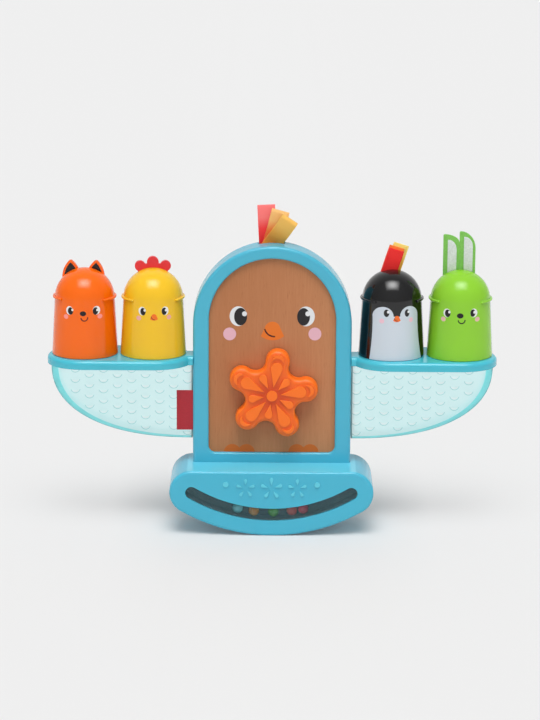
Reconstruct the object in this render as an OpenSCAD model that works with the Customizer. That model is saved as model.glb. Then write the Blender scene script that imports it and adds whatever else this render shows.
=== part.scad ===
// Balance toy: a rocking bird with two wing trays and four standing animal cups.
// X runs to the viewer's right, Y away from the viewer and Z up. The origin is on the floor, under the middle.

/* [Rocker base] */
// Radius of the curved underside
rocker_r = 130; // [124:1:145]
// Width of the base at its widest
base_w = 149; // [144:1:156]
// Radius of the round ends of the base
end_r = 16.2; // [15:0.1:17.5]
// Width of the flat at the bottom that the toy rests on
rest_flat = 14; // [8:1:20]
// How far the base reaches in front of the middle
base_front = 38; // [36:1:44]
// How far the base reaches behind the middle
base_rear = 22; // [21:1:28]
// Depth of the joint between the two base shells, behind the middle
base_split = -2; // [-4:1:0]
// Wall of the base shells
base_wall = 2.5; // [2:0.1:3]
// Rounding of the front edge of the base
base_front_round = 2.2; // [1:0.1:3]
// Rounding of the rear edge of the base
base_rear_round = 9; // [5:0.5:10]

/* [Bead window] */
// Height of the window slot
slot_h = 9.2; // [8:0.2:10]
// Thickness of the clear window
lens_t = 2.2; // [1.8:0.1:2.4]
// Diameter of a bead
bead_d = 8; // [7:0.1:8.2]
// Wall of the bead track
track_wall = 1.6; // [1.2:0.1:2]
// Places of the beads along the track, from its middle
bead_places = [-24.8, -12.9, 1.6, 15.1, 23.5];
// Furthest that a bead's middle rolls from straight down
bead_reach = 28.4; // [24:0.2:29]

/* [Body] */
// Width of the body frame
body_w = 116; // [110:1:122]
// Height of the body frame above the base
body_h = 161.9; // [155:1:170]
// How far the body reaches in front of the middle
body_front = 11; // [10.5:0.5:13]
// How far the body reaches behind the middle
body_rear = 14; // [13:0.5:18]
// Depth of the joint between the frame and the rear cover, behind the middle
body_split = 3; // [2:0.5:4]
// Wall of the body shells
body_wall = 2.5; // [2:0.1:3]
// Rounding of the outer edges of the body
body_round = 2.4; // [1:0.1:3]
// Width of the frame beside the panel
frame_side = 11.6; // [11:0.2:14]
// Width of the frame over the panel
frame_top = 9.1; // [8.6:0.2:11]
// Width of the frame under the panel
frame_bottom = 7.3; // [6.5:0.1:9]
// Rounding of the frame's inner front edge
frame_round = 1.6; // [0.8:0.1:2]
// Rounding of the panel opening's lower corners
frame_corner = 5; // [4:0.5:7]

/* [Wooden panel] */
// Thickness of the panel
panel_t = 5; // [4:0.5:5]
// How far the panel reaches behind the frame all round
panel_lip = 2.4; // [1.6:0.1:2.4]
// Height of the spinning flower's axle above the base
spinner_up = 52.7; // [48:0.1:60]

/* [Spinning flower] */
// Distance from the axis to the middle of a lobe
lobe_at = 25; // [23:0.5:27]
// Radius of a lobe
lobe_r = 8.9; // [8:0.1:10]
// Radius of the flower at its waists
waist_r = 20; // [19:0.5:21]
// Thickness of the flower
flower_t = 11.4; // [9:0.2:13]
// Rounding of the flower's front edge
flower_round = 3.4; // [2:0.1:4]
// Height of the flower's raised petals
relief_rise = 1.2; // [0.5:0.1:1.4]
// How far the first lobe is turned to the right of straight up
flower_turn = 9.5; // [0:0.5:35]
// Diameter of the steel axle
axle_d = 4; // [3:0.1:5]

/* [Trays] */
// Height of the tray tops above the base
tray_up = 79.7; // [70:0.1:90]
// Length of a tray, from the body's side to its outer end
tray_length = 107; // [104:1:117]
// Depth of a tray from front to back
tray_w = 55.8; // [54:0.2:60]
// Height of the tray's rim
rim_h = 6.4; // [5.5:0.1:8]
// Wall of a tray
tray_wall = 2.2; // [1.8:0.1:2.5]
// Rounding of the tray's top edge
tray_round = 3; // [1.5:0.1:3]
// Depth of the neck where a tray meets the body
neck_w = 22; // [19.5:0.5:23]

/* [Wing shells] */
// Drop of a wing below the tray's rim
wing_drop = 55.5; // [50:0.5:60]
// Depth of a wing from front to back
wing_w = 15; // [14:0.5:16]
// Wall of a wing shell
wing_wall = 2; // [1.6:0.1:2.4]
// Gap between a wing's outer end and the tray's outer end
wing_inset = 3.3; // [3:0.1:6]
// Spacing of the feather marks along a wing
mark_pitch = 10.3; // [9:0.1:12]
// Spacing of the feather marks down a wing
mark_row = 7.8; // [7:0.1:9]
// Width of a feather mark
mark_w = 7.2; // [6:0.1:8]
// Height of a feather mark above the wing's face
mark_rise = 0.5; // [0.3:0.1:0.7]

/* [Cups] */
// Diameter of a cup at its open rim
cup_base_d = 48.4; // [44:0.2:49]
// Diameter of a cup at its shoulder
cup_shoulder_d = 43.8; // [41:0.2:45]
// Height of a cup's straight side
cup_side_h = 42.7; // [38:0.1:48]
// Wall of a cup
cup_wall = 2; // [1.6:0.1:2.4]
// Distance from the body's side to the middle of an outer cup
outer_cup_out = 79.5; // [78:0.1:81]
// Distance from the body's side to the middle of an inner cup
inner_cup_out = 29.4; // [28:0.1:30]
// How far the cups stand behind the middle
cup_back = 1.6; // [0:0.1:2.4]
// Thickness of the finger ribs at the shoulder
rib_d = 1.9; // [1.2:0.1:2.4]
// Angle that each finger rib goes round
rib_angle = 90; // [60:5:110]

/* [Soft trim] */
// Width of the crest ribbons
crest_w = 13; // [11:0.5:14]
// Width of the penguin's ribbons
tuft_w = 11.6; // [9:0.2:12]
// Thickness of a ribbon
ribbon_t = 0.6; // [0.5:0.05:0.6]
// Height of the side tag
tag_h = 30; // [24:1:34]
// Width of the side tag outside the body
tag_w = 12; // [9:0.5:14]
// Thickness of the felt ears
felt_t = 2; // [1.5:0.1:2.5]

/* [Hidden] */
$fn = 96;
sides = [-1, 1];

// overrun of every cut, the gap of a seated piece, of a loose fit, of a running fit and of a pressed pin, and how far
// a round form stands proud of one that it runs into
over = 1;
seat_gap = 0.3;
fit_gap = 0.15;
run_gap = 0.05;
pin_gap = 0.02;
proud = 0.12;
// Flats along each arc of the slot's outline, and the turn between two of them at its round ends
slot_steps = 48;
end_step = 180 / slot_steps;
// Flats along each half of a teardrop's round end
drop_steps = 9;

// rocker outline: the round ends and the window slot share their centres
rock_z = sqrt(rocker_r * rocker_r - rest_flat * rest_flat / 4);
end_x = base_w / 2 - end_r;
track_r = rocker_r - end_r;
end_z = rock_z - sqrt(track_r * track_r - end_x * end_x);
end_angle = asin(end_x / track_r);
base_top = end_z + end_r;
ring_low = (rock_z - base_top + base_rear_round + base_wall) / cos(end_angle);
bar_low = end_z - end_r / 3;
web_half = 5 * end_x / 8;
web_low = end_z / 2;

// bead track, from the window inwards
slot_r = slot_h / 2;
lens_flange = 2;
lens_flange_t = 1.5;
track_front = -base_front + base_wall + lens_flange_t;
bead_r = bead_d / 2;
bead_front_gap = 1.1;
bead_y = track_front + bead_r + bead_front_gap;
bore_r = bead_r + seat_gap;
track_rear = bead_y + bead_r + seat_gap;
track_deep = track_rear + track_wall;

// screws that join the base shells and the body to the base
base_head_r = 2.9;
base_head_h = 2.4;
base_shank_r = 1.5;
base_post_wall = 2.7;
base_post_r = base_shank_r + base_post_wall;
upper_post_in = 18.3;
upper_post_x = end_x - upper_post_in;
upper_post_drop = 10.3;
upper_post_z = base_top - upper_post_drop;
lower_post_x = 26;
lower_post_rise = 3.4;
lower_post_z = floor_z(lower_post_x) + base_wall + lower_post_rise;
thread_len = 13;
head_deep = 4;
foot_in = 24;
foot_x = body_w / 2 - foot_in;
foot_y = 7.4;
foot_post_r = 3.6;
foot_len = 12;

// small screws that hold the bead track and the rear cover
body_head_r = 2.2;
body_head_h = 1.8;
body_shank_r = 1.1;
body_post_wall = 1.7;
body_post_r = body_shank_r + body_post_wall;
head_wall = 1.4;
ear_in = 6.3;
ear_x = end_x - ear_in;
ear_drop = 6.8;
ear_z = base_top - ear_drop;
ear_r = 3.4;
ear_thread = 2.2;
mid_ear_z = rock_z - track_r + bore_r + track_wall + ear_r;

// body outline and panel
body_top = base_top + body_h;
arch_r = body_w / 2;
arch_z = body_top - arch_r;
open_r = arch_r - frame_side;
open_z = body_top - frame_top - open_r;
open_low = base_top + frame_bottom;
frame_lip = 3;
panel_front = -body_front + frame_lip;
panel_rear = panel_front + panel_t;
panel_r = open_r + panel_lip;
post_bond = 0.7;
body_post_x = arch_r - body_wall - body_post_r + post_bond;
low_post_up = 11;
high_post_up = 92;
prop_x = 36;
low_prop_up = 24;
high_prop_up = 96;
prop_r = 3;
ledge_x = 24;
ledge_w = 8;

// spinner
spinner_z = base_top + spinner_up;
axle_r = axle_d / 2;
bush_wall = 2;
bush_r = axle_r + bush_wall;
bush_flange = 2.4;
bush_flange_t = 0.8;
flower_rear = panel_front - bush_flange_t - seat_gap;
flower_front = flower_rear - flower_t;
axle_cover = 4;
axle_in = flower_t - axle_cover;
retainer_t = 1;
retainer_w = 2.6;
retainer_y = panel_rear + seat_gap;
axle_stub = 1.4;

// flower: the waist circles touch the lobe circles, so lobes and waists flow into each other
lobes = 5;
lobe_step = 360 / lobes;
waist_at = (lobe_at * lobe_at - (waist_r - lobe_r) * (waist_r - lobe_r))
    / (2 * (lobe_at * cos(lobe_step / 2) - (waist_r - lobe_r)));
waist_cut_r = waist_at - waist_r;
waist_less = 0.5;
waist_round = flower_round - waist_less;
lobe_back = 0.3;
flower_dot_r = 4;
big_from = 6.4;
big_to = 25.3;
big_w = 8.8;
small_from = 6.2;
small_to = 17.4;
small_w = 5.7;
moon_r = 4.4;
moon_t = 2.8;
moon_at = lobe_at + 1.7;

// trays and wings
tray_z = base_top + tray_up;
tray_r = tray_w / 2;
tray_out = arch_r + tray_length - tray_r;
tray_gap = 1.2;
tray_in = arch_r + tray_r + tray_gap;
tongue_t = 3;
tongue_w = 14;
hook_in = 7;
hook_t = 2;
hook_h = 2;
tongue_y = 0;
tongue_z = tray_z - rim_h / 2 - tongue_t / 2;
wing_top = tray_z - tray_wall;
wing_start = arch_r + seat_gap;
wing_end = arch_r + tray_length - wing_inset;
wing_rim = tray_z - rim_h;
wing_n = 2.3;
wing_steps = 30;
neck_end = arch_r + tray_wall + fit_gap;
wing_top_end = tray_out + sqrt(pow(tray_r - tray_wall, 2) - pow(wing_w / 2, 2)) - fit_gap;
tab_drop = 29;
tab_z = wing_rim - tab_drop;
tab_h = 16;
tab_w = 7;
tab_y = body_split;
mark_from = 3.6;
mark_top = 3;
mark_edge_share = 0.8;
mark_r_share = 0.51;
mark_cut_share = 1.33;
mark_up_share = 1.13;

// cups
cup_base_r = cup_base_d / 2;
cup_shoulder_r = cup_shoulder_d / 2;
cup_taper = atan((cup_base_r - cup_shoulder_r) / cup_side_h);
outer_cup_at = arch_r + outer_cup_out;
inner_cup_at = arch_r + inner_cup_out;
dome_z = cup_side_h - cup_shoulder_r * tan(cup_taper);
dome_r = cup_shoulder_r / cos(cup_taper);
cup_h = dome_z + dome_r;
cup_rim_round = 0.7;
rib_sunk_share = 0.3;
bond = 0.1;
fox_turn = -3;
chick_turn = 5;
penguin_turn = 9;
bunny_turn = -3.7;

// raised trim on the base front
trim_rise = 0.7;
trim_drop = 12.2;
trim_x = 18.9;
dot_x = 33.4;
dot_drop = 9.4;
dot_r = 2.1;
petal_in = 2.4;
side_petal = 7;
mid_petal = 8.1;
petal_w_share = 0.34;

// Height of the curved underside at a distance from the middle
function floor_z(x) = rock_z - sqrt(rocker_r * rocker_r - x * x);

// Front view shapes: x is X, y is Z, and the extrusion runs along Y
module facing() {
    rotate([90, 0, 0]) mirror([0, 0, 1]) children();
}

// A section in Y and Z, drawn out along X about the middle
module across(length) {
    rotate([90, 0, 90]) translate([0, 0, -length / 2]) linear_extrude(length) children();
}

// The piece that rounding takes from a corner whose solid lies to its left and above
module corner_nick(r) {
    if (r > 0) difference() {
        translate([-r, -over]) square([r + over, r + over]);
        translate([-r, r]) circle(r);
    }
}

// Half section from an inner to an outer radius, its two outer corners rounded
module rounded_section(inner, outer, low, high, low_round, high_round) {
    difference() {
        translate([inner, low]) square([outer - inner, high - low]);
        translate([outer, low]) corner_nick(low_round);
        translate([outer, high]) mirror([0, 1]) corner_nick(high_round);
    }
}

// Half section of a cutter that flares outwards at its low end
module flared_section(outer, low, high, flare) {
    translate([0, low - over]) square([outer, high - low + over]);
    difference() {
        translate([0, low - over]) square([outer + flare, flare + over]);
        translate([outer + flare, low + flare]) circle(flare);
    }
}

// Solid in the base's outline, drawn in by inset, between two depths. The round ends stand proud by a hair, so that
// they cross the ring and the bar cleanly
module base_form(inset, front, rear, front_round, rear_round) {
    facing() {
        for (side = sides) translate([side * end_x, end_z])
            rotate_extrude() rounded_section(0, end_r + proud - inset, front, rear, front_round, rear_round);
        translate([0, rock_z]) rotate(-90 - end_angle) rotate_extrude(angle = 2 * end_angle)
            rounded_section(ring_low, rocker_r - inset, front, rear, front_round, rear_round);
    }
    across(2 * end_x) difference() {
        translate([front, bar_low]) square([rear - front, base_top - inset - bar_low]);
        translate([front, base_top - inset]) rotate(180) corner_nick(front_round);
        translate([rear, base_top - inset]) mirror([0, 1]) corner_nick(rear_round);
    }
    translate([-web_half, front, web_low]) cube([2 * web_half, rear - front, bar_low + over - web_low]);
}

// Point at a distance from a centre, at an angle from straight down
function swung(centre, r, a) = centre + r * [sin(a), -cos(a)];

// Points along an arc from one angle to another
function arc_points(centre, r, from, to) =
    [for (i = [0:slot_steps]) swung(centre, r, from + (to - from) * i / slot_steps)];

// Outline of a slot of a given half height along the bead arc, with round ends
function slot_outline(half) = concat(
    arc_points([0, rock_z], track_r + half, -end_angle, end_angle),
    arc_points([end_x, end_z], half, end_angle + end_step, end_angle + 180 - end_step),
    arc_points([0, rock_z], track_r - half, end_angle, -end_angle),
    arc_points([-end_x, end_z], half, 180 - end_angle + end_step, 360 - end_angle - end_step));

// Such a slot between two depths
module arc_slot(half, front, rear) {
    facing() translate([0, 0, front]) linear_extrude(rear - front) polygon(slot_outline(half));
}

// Cylinder along Y
module rod(x, z, r, front, rear) {
    facing() translate([x, z, front]) cylinder(r = r, h = rear - front);
}

// Cylinder along Z
module upright(x, y, r, low, high) {
    translate([x, y, low]) cylinder(r = r, h = high - low);
}

// Places of the screws that join the base shells
module at_base_posts() {
    for (side = sides) {
        translate([side * upper_post_x, 0, upper_post_z]) children();
        translate([side * lower_post_x, 0, lower_post_z]) children();
    }
}

// Places of the screws that hold the bead track
module at_track_ears() {
    for (side = sides) translate([side * ear_x, 0, ear_z]) children();
    translate([0, 0, mid_ear_z]) children();
}

// Places of the screws between the base and the body
module at_foot_screws() {
    for (x = [-foot_x, 0, foot_x]) translate([x, foot_y, base_top]) children();
}

// Teardrop along +Y, from its point to its round end
module teardrop(from, to, width) {
    r = width / 2;
    d = to - from - r;
    a = 90 + asin(r / d);
    polygon(concat([[0, from]], [for (i = [-drop_steps:drop_steps])
        [0, from + d] + r * [-sin(a * i / drop_steps), cos(a * i / drop_steps)]]));
}

// Five teardrops round a point, the first one upwards
module petals(from, to, width) {
    for (i = [0:lobes - 1]) rotate(lobe_step * i) teardrop(from, to, width);
}

// Raised dots and flowers on the base front
module base_trim() {
    facing() translate([0, 0, -base_front - trim_rise]) linear_extrude(trim_rise + over) {
        for (side = sides) {
            translate([side * dot_x, base_top - dot_drop]) circle(dot_r);
            translate([side * trim_x, base_top - trim_drop])
                petals(petal_in, side_petal, side_petal * petal_w_share);
        }
        translate([0, base_top - trim_drop]) petals(petal_in, mid_petal, mid_petal * petal_w_share);
    }
}

// Outline of the base, drawn in by its wall
function base_hollow() = concat(
    arc_points([0, rock_z], rocker_r - base_wall, -end_angle, end_angle),
    arc_points([end_x, end_z], end_r - base_wall, end_angle + end_step, 180),
    arc_points([-end_x, end_z], end_r - base_wall, 180, 360 - end_angle - end_step));

module base_cuts() {
    translate([-base_w, -base_w, -base_w]) cube([2 * base_w, 2 * base_w, base_w]);
    at_foot_screws() upright(0, 0, base_shank_r + fit_gap, -base_wall - over, over);
}

module base_front_shell() {
    color("#50b0ca") difference() {
        union() {
            difference() {
                base_form(0, -base_front, base_rear, base_front_round, base_rear_round);
                facing() translate([0, 0, -base_front + base_wall]) linear_extrude(base_front + base_rear)
                    polygon(base_hollow());
            }
            base_trim();
            at_base_posts() rod(0, 0, base_post_r, base_split - thread_len - over, base_split);
            for (side = sides)
                rod(side * upper_post_x, upper_post_z, base_post_r, -base_front + over, base_split);
            at_track_ears() rod(0, 0, ear_r, -base_front + over, track_front);
        }
        translate([-base_w, base_split, -over]) cube([2 * base_w, base_w, base_w]);
        base_cuts();
        arc_slot(slot_r, -base_front - over, track_front);
        at_base_posts() rod(0, 0, base_shank_r + pin_gap, base_split - thread_len, base_split + over);
        at_track_ears() rod(0, 0, body_shank_r + pin_gap, track_front - ear_thread, track_front + over);
    }
}

module base_rear_shell() {
    color("#50b0ca") difference() {
        union() {
            difference() {
                base_form(0, -base_front, base_rear, base_front_round, base_rear_round);
                base_form(base_wall, -base_front, base_rear - base_wall, 0, base_rear_round - base_wall);
                translate([-base_w, base_split - base_w, -over]) cube([2 * base_w, base_w, base_w]);
            }
            intersection() {
                base_form(0, -base_front, base_rear, base_front_round, base_rear_round);
                at_base_posts() rod(0, 0, base_head_r + head_wall, base_split, base_rear);
            }
        }
        base_cuts();
        at_base_posts() {
            rod(0, 0, base_shank_r + fit_gap, base_split - over, base_rear + over);
            rod(0, 0, base_head_r + seat_gap, head_deep, base_rear + over);
        }
    }
}

module window_lens() {
    color("#4a5256", 0.6) {
        arc_slot(slot_r - fit_gap, -base_front + base_wall - lens_t, track_front);
        arc_slot(slot_r + lens_flange - fit_gap, track_front - lens_flange_t, track_front);
    }
}

module bead_track() {
    color("#3a4045") difference() {
        union() {
            arc_slot(bore_r + track_wall, track_front, track_deep);
            at_track_ears() rod(0, 0, ear_r, track_front, track_front + track_wall);
            for (side = sides) translate([side * ear_x, 0, 0]) ear_web(end_z, ear_z);
            ear_web(rock_z - track_r + bore_r, mid_ear_z);
        }
        arc_slot(bore_r, track_front - over, track_rear);
        at_track_ears() rod(0, 0, body_shank_r + fit_gap, track_front - over, track_front + track_wall + over);
    }
}

// Flat web from the track up to one of its screw ears
module ear_web(low, high) {
    translate([-ear_r, track_front, low]) cube([2 * ear_r, track_wall, high - low]);
}

module track_screws() {
    color("silver") at_track_ears() {
        rod(0, 0, body_head_r, track_front + track_wall, track_front + track_wall + body_head_h);
        rod(0, 0, body_shank_r, track_front - ear_thread + seat_gap, track_front + track_wall);
    }
}

module base_screws() {
    color("silver") at_base_posts() difference() {
        union() {
            rod(0, 0, base_head_r, head_deep, head_deep + base_head_h);
            rod(0, 0, base_shank_r, base_split - thread_len + seat_gap, head_deep);
        }
        screw_cross(base_head_r, head_deep + base_head_h);
    }
}

// Cross recess in a screw head that faces backwards
module screw_cross(head, face) {
    arm = head / 4;
    facing() for (turn = [0, 90]) rotate(turn)
        translate([-2 * arm, -arm / 2, face - arm]) cube([4 * arm, arm, arm + over]);
}

module foot_screws() {
    color("silver") at_foot_screws() {
        upright(0, 0, base_head_r, -base_wall - base_head_h, -base_wall);
        upright(0, 0, base_shank_r, -base_wall, foot_len);
    }
}

module bead(i, shade) {
    a = 2 * asin(bead_places[i] / (2 * track_r));
    color(shade) translate([track_r * sin(a), bead_y, rock_z - track_r * cos(a)]) sphere(bead_r);
}

module bead_light_blue() { bead(0, "#9fc4dc"); }
module bead_amber() { bead(1, "#d98a2b"); }
module bead_green() { bead(2, "#6fa04a"); }
module bead_dark_red() { bead(3, "#8c2f2c"); }
module bead_pink() { bead(4, "#d9635f"); }

// Solid in the body's outline, drawn in by inset, between two depths
module body_form(inset, front, rear, front_round, rear_round) {
    facing() translate([0, arch_z]) rotate_extrude()
        rounded_section(0, arch_r - inset, front, rear, front_round, rear_round);
    translate([0, 0, base_top + inset]) linear_extrude(arch_z - base_top - inset) for (side = [0, 1])
        mirror([side, 0]) rounded_section(0, arch_r - inset, front, rear, front_round, rear_round);
}

// Cutter for the opening that shows the panel, with a rounded front edge
module face_opening() {
    low = -body_front;
    high = panel_front + over / 2;
    corner_x = open_r - frame_corner;
    corner_z = open_low + frame_corner;
    facing() {
        translate([0, open_z]) rotate_extrude() flared_section(open_r, low, high, frame_round);
        for (side = sides) translate([side * corner_x, corner_z])
            rotate_extrude() flared_section(frame_corner, low, high, frame_round);
    }
    translate([0, 0, corner_z]) linear_extrude(open_z - corner_z) for (side = [0, 1])
        mirror([side, 0]) flared_section(open_r, low, high, frame_round);
    across(2 * corner_x) translate([0, corner_z]) rotate(-90) flared_section(frame_corner, low, high, frame_round);
}

// Slots in the body's sides that hold the tongues of the trays and the tabs of the wings
module side_slots() {
    for (side = [0, 1]) mirror([side, 0, 0]) {
        side_slot(tongue_y, tongue_w, tongue_z, tongue_t);
        side_slot(tab_y, tab_w, tab_z, tab_h);
    }
}

module side_slot(y, w, z, h) {
    translate([arch_r - body_wall - over, y - w / 2 - fit_gap, z - fit_gap])
        cube([body_wall + 2 * over, w + 2 * fit_gap, h + 2 * fit_gap]);
}

// Hooked tongue through such a slot, reaching out to a given distance from the middle
module hooked_tongue(y, w, z, h, out) {
    translate([arch_r - hook_in, y - w / 2, z]) cube([out - arch_r + hook_in, w, h]);
    translate([arch_r - hook_in, y - w / 2, z - hook_h]) cube([hook_t, w, h + 2 * hook_h]);
}

// Places of the screws that join the frame and the rear cover
module at_body_posts() {
    for (side = sides, up = [low_post_up, high_post_up]) translate([side * body_post_x, 0, base_top + up]) children();
}

module body_shell() {
    difference() {
        body_form(0, -body_front, body_rear, body_round, body_round);
        body_form(body_wall, panel_front, body_rear - body_wall, 0, 0);
    }
}

module body_front_frame() {
    color("#4eacc6") difference() {
        union() {
            body_shell();
            at_body_posts() rod(0, 0, body_post_r, panel_front - over, body_split);
            for (side = sides) translate([side * ledge_x - ledge_w / 2, panel_front - over, base_top])
                cube([ledge_w, panel_t + over, frame_bottom - panel_lip]);
        }
        translate([-body_w, body_split, 0]) cube([2 * body_w, body_w, 2 * body_top]);
        face_opening();
        side_slots();
        tag_slit();
        at_body_posts() rod(0, 0, body_shank_r + pin_gap, panel_front + over, body_split + over);
    }
}

module body_rear_cover() {
    color("#4eacc6") difference() {
        union() {
            difference() {
                body_shell();
                translate([-body_w, body_split - body_w, 0]) cube([2 * body_w, body_w, 2 * body_top]);
            }
            at_body_posts() rod(0, 0, body_head_r + head_wall, body_split, body_rear - over);
            for (side = sides, up = [low_prop_up, high_prop_up])
                rod(side * prop_x, base_top + up, prop_r, panel_rear, body_rear - over);
            intersection() {
                body_form(0, -body_front, body_rear, body_round, body_round);
                at_foot_screws() upright(0, 0, foot_post_r, 0, foot_len + over);
            }
        }
        side_slots();
        crest_slot();
        at_foot_screws() upright(0, 0, base_shank_r + pin_gap, -over, foot_len + seat_gap);
        at_body_posts() {
            rod(0, 0, body_shank_r + fit_gap, body_split - over, body_rear + over);
            rod(0, 0, body_head_r + fit_gap, body_rear - head_deep, body_rear + over);
        }
    }
}

module body_screws() {
    face = body_rear - head_deep + body_head_h;
    color("silver") at_body_posts() difference() {
        union() {
            rod(0, 0, body_head_r, body_rear - head_deep, face);
            rod(0, 0, body_shank_r, panel_front + over + seat_gap, body_rear - head_deep);
        }
        screw_cross(body_head_r, face);
    }
}

// Outline of the panel, drawn in from its real edge by inset
module panel_outline(inset) {
    r = frame_corner + panel_lip - inset;
    half = panel_r - inset;
    low = open_low - panel_lip + inset;
    translate([0, open_z]) circle(half);
    translate([-half, low + r]) square([2 * half, open_z - low - r]);
    translate([-half + r, low]) square([2 * half - 2 * r, 2 * r]);
    for (side = sides) translate([side * (half - r), low + r]) circle(r);
}

module wood_face_panel() {
    color("#b87c54") difference() {
        facing() translate([0, 0, panel_front]) linear_extrude(panel_t) panel_outline(fit_gap);
        rod(0, spinner_z, bush_r + pin_gap, panel_front - over, panel_rear + over);
    }
}

module spinner_bush() {
    color("#e8e8e6") difference() {
        union() {
            rod(0, spinner_z, bush_r, panel_front - bush_flange_t, panel_rear);
            rod(0, spinner_z, bush_r + bush_flange, panel_front - bush_flange_t, panel_front);
        }
        rod(0, spinner_z, axle_r + run_gap, flower_rear, panel_rear + over);
    }
}

module spinner_axle() {
    color("silver") rod(0, spinner_z, axle_r, flower_rear - axle_in, retainer_y + retainer_t + axle_stub);
}

module axle_retainer() {
    color("#c8c8c8") difference() {
        rod(0, spinner_z, axle_r + retainer_w, retainer_y, retainer_y + retainer_t);
        rod(0, spinner_z, axle_r + pin_gap, retainer_y - over, retainer_y + retainer_t + over);
    }
}

// Outline through the middles of the lobes and waists
module flower_star() {
    polygon([for (i = [0:2 * lobes - 1], a = lobe_step / 2 * i)
        (i % 2 == 0 ? lobe_at : waist_at) * [sin(a), cos(a)]]);
}

// Flower behind the front of its raised petals, which lies at zero
module flower_form() {
    linear_extrude(relief_rise + over) flower_relief();
    translate([0, 0, relief_rise]) difference() {
        union() {
            linear_extrude(flower_t - relief_rise) flower_star();
            for (i = [0:lobes - 1]) rotate(lobe_step * i) translate([0, lobe_at])
                rotate_extrude() rounded_section(0, lobe_r, 0, flower_t - relief_rise - lobe_back, flower_round, 0);
        }
        for (i = [0:lobes - 1]) rotate(lobe_step / 2 + lobe_step * i) translate([0, waist_at])
            rotate_extrude() flared_section(waist_cut_r + proud, 0, flower_t - relief_rise + over, waist_round);
    }
}

// Raised relief: a dot, long and short petals, and a crescent near the tip of each lobe
module flower_relief() {
    circle(flower_dot_r);
    petals(big_from, big_to, big_w);
    rotate(lobe_step / 2) petals(small_from, small_to, small_w);
    for (i = [0:lobes - 1]) rotate(lobe_step * i) difference() {
        translate([0, moon_at]) circle(moon_r);
        translate([0, moon_at - moon_t - moon_r / 12]) circle(moon_r + moon_r / 12);
    }
}

module spinner_flower() {
    color("#fa6e28") translate([0, 0, spinner_z]) rotate([0, flower_turn, 0]) difference() {
        facing() translate([0, 0, flower_front]) flower_form();
        rod(0, 0, axle_r + pin_gap, flower_rear - axle_in - pin_gap, flower_rear + over);
    }
}

// Tray outline, two round ends and the neck to the body, drawn in by inset, between two heights
module tray_form(inset, low, high, round_r) {
    r = tray_r - inset;
    length = tray_out - tray_in;
    reach = tray_in - arch_r - inset;
    for (x = [tray_in, tray_out]) translate([x, 0, 0]) rotate_extrude() rounded_section(0, r, low, high, 0, round_r);
    translate([tray_in + length / 2, 0, 0]) across(length) for (side = [0, 1]) mirror([side, 0])
        rounded_section(0, r, low, high, 0, round_r);
    translate([arch_r + inset + reach / 2, 0, 0]) across(reach) for (side = [0, 1]) mirror([side, 0])
        rounded_section(0, neck_w / 2 - inset, low, high, 0, round_r);
}

module tray() {
    difference() {
        tray_form(0, wing_rim, tray_z, tray_round);
        tray_form(tray_wall, wing_rim - over, wing_top, 0);
    }
    hooked_tongue(tongue_y, tongue_w, tongue_z, tongue_t, arch_r + tray_wall);
}

module left_tray() { color("#58b8d0") mirror([1, 0, 0]) tray(); }
module right_tray() { color("#58b8d0") tray(); }

// Lower outline of a wing: a rounded quarter curve from its outer end to the body
function wing_curve(a, b) = [for (i = [0:wing_steps])
    let (t = 90 * i / wing_steps)
    [a * pow(cos(t), 2 / wing_n), -b * pow(sin(t), 2 / wing_n)]];

// Outline of a wing, drawn in by inset, with the part that stands up into the tray
module wing_outline(inset) {
    a = wing_end - wing_start - 2 * inset;
    b = wing_drop - inset;
    translate([wing_start + inset, wing_rim]) polygon(concat([[0, 0]], wing_curve(a, b)));
    translate([neck_end + inset, wing_rim - bond])
        square([wing_top_end - neck_end - 2 * inset, wing_top - wing_rim + bond]);
}

// Feather marks in staggered columns, kept inside the wing's outline
module wing_marks() {
    a = wing_end - wing_start;
    for (i = [0:floor(a / mark_pitch)], j = [0:floor(wing_drop / mark_row)]) {
        x = mark_from + mark_pitch * i;
        z = mark_top + mark_row * (j + (i % 2) / 2);
        if (pow(x / a, wing_n) + pow(z / wing_drop, wing_n) < mark_edge_share)
            translate([wing_start + x, wing_rim - z]) feather_mark();
    }
}

// One feather mark, a shallow smile
module feather_mark() {
    difference() {
        circle(mark_w * mark_r_share);
        translate([0, mark_w * mark_up_share]) circle(mark_w * mark_cut_share);
    }
}

module wing_shell() {
    difference() {
        union() {
            facing() translate([0, 0, -wing_w / 2]) linear_extrude(wing_w) wing_outline(0);
            facing() translate([0, 0, -wing_w / 2 - mark_rise]) linear_extrude(wing_w + 2 * mark_rise) wing_marks();
            hooked_tongue(tab_y, tab_w, tab_z, tab_h, wing_start + wing_wall);
        }
        facing() translate([0, 0, -wing_w / 2 + wing_wall]) linear_extrude(wing_w - 2 * wing_wall) {
            wing_outline(wing_wall);
            translate([neck_end + wing_wall, wing_top - wing_wall - over])
                square([wing_top_end - neck_end - 2 * wing_wall, wing_wall + 2 * over]);
        }
    }
}

module left_wing_shell() { color("#bfe9ea", 0.6) mirror([1, 0, 0]) wing_shell(); }
module right_wing_shell() { color("#bfe9ea", 0.6) wing_shell(); }

// Ribbons of the crest and of the penguin: their plies lie one behind the other in a slot
ply = 2 * ribbon_t;
ply_step = ply + run_gap;
groove_half = ply_step + ribbon_t + run_gap;
slot_half = groove_half + seat_gap;
clip_wall = 2;
clip_floor = 1.5;
clip_h = 6;

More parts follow.
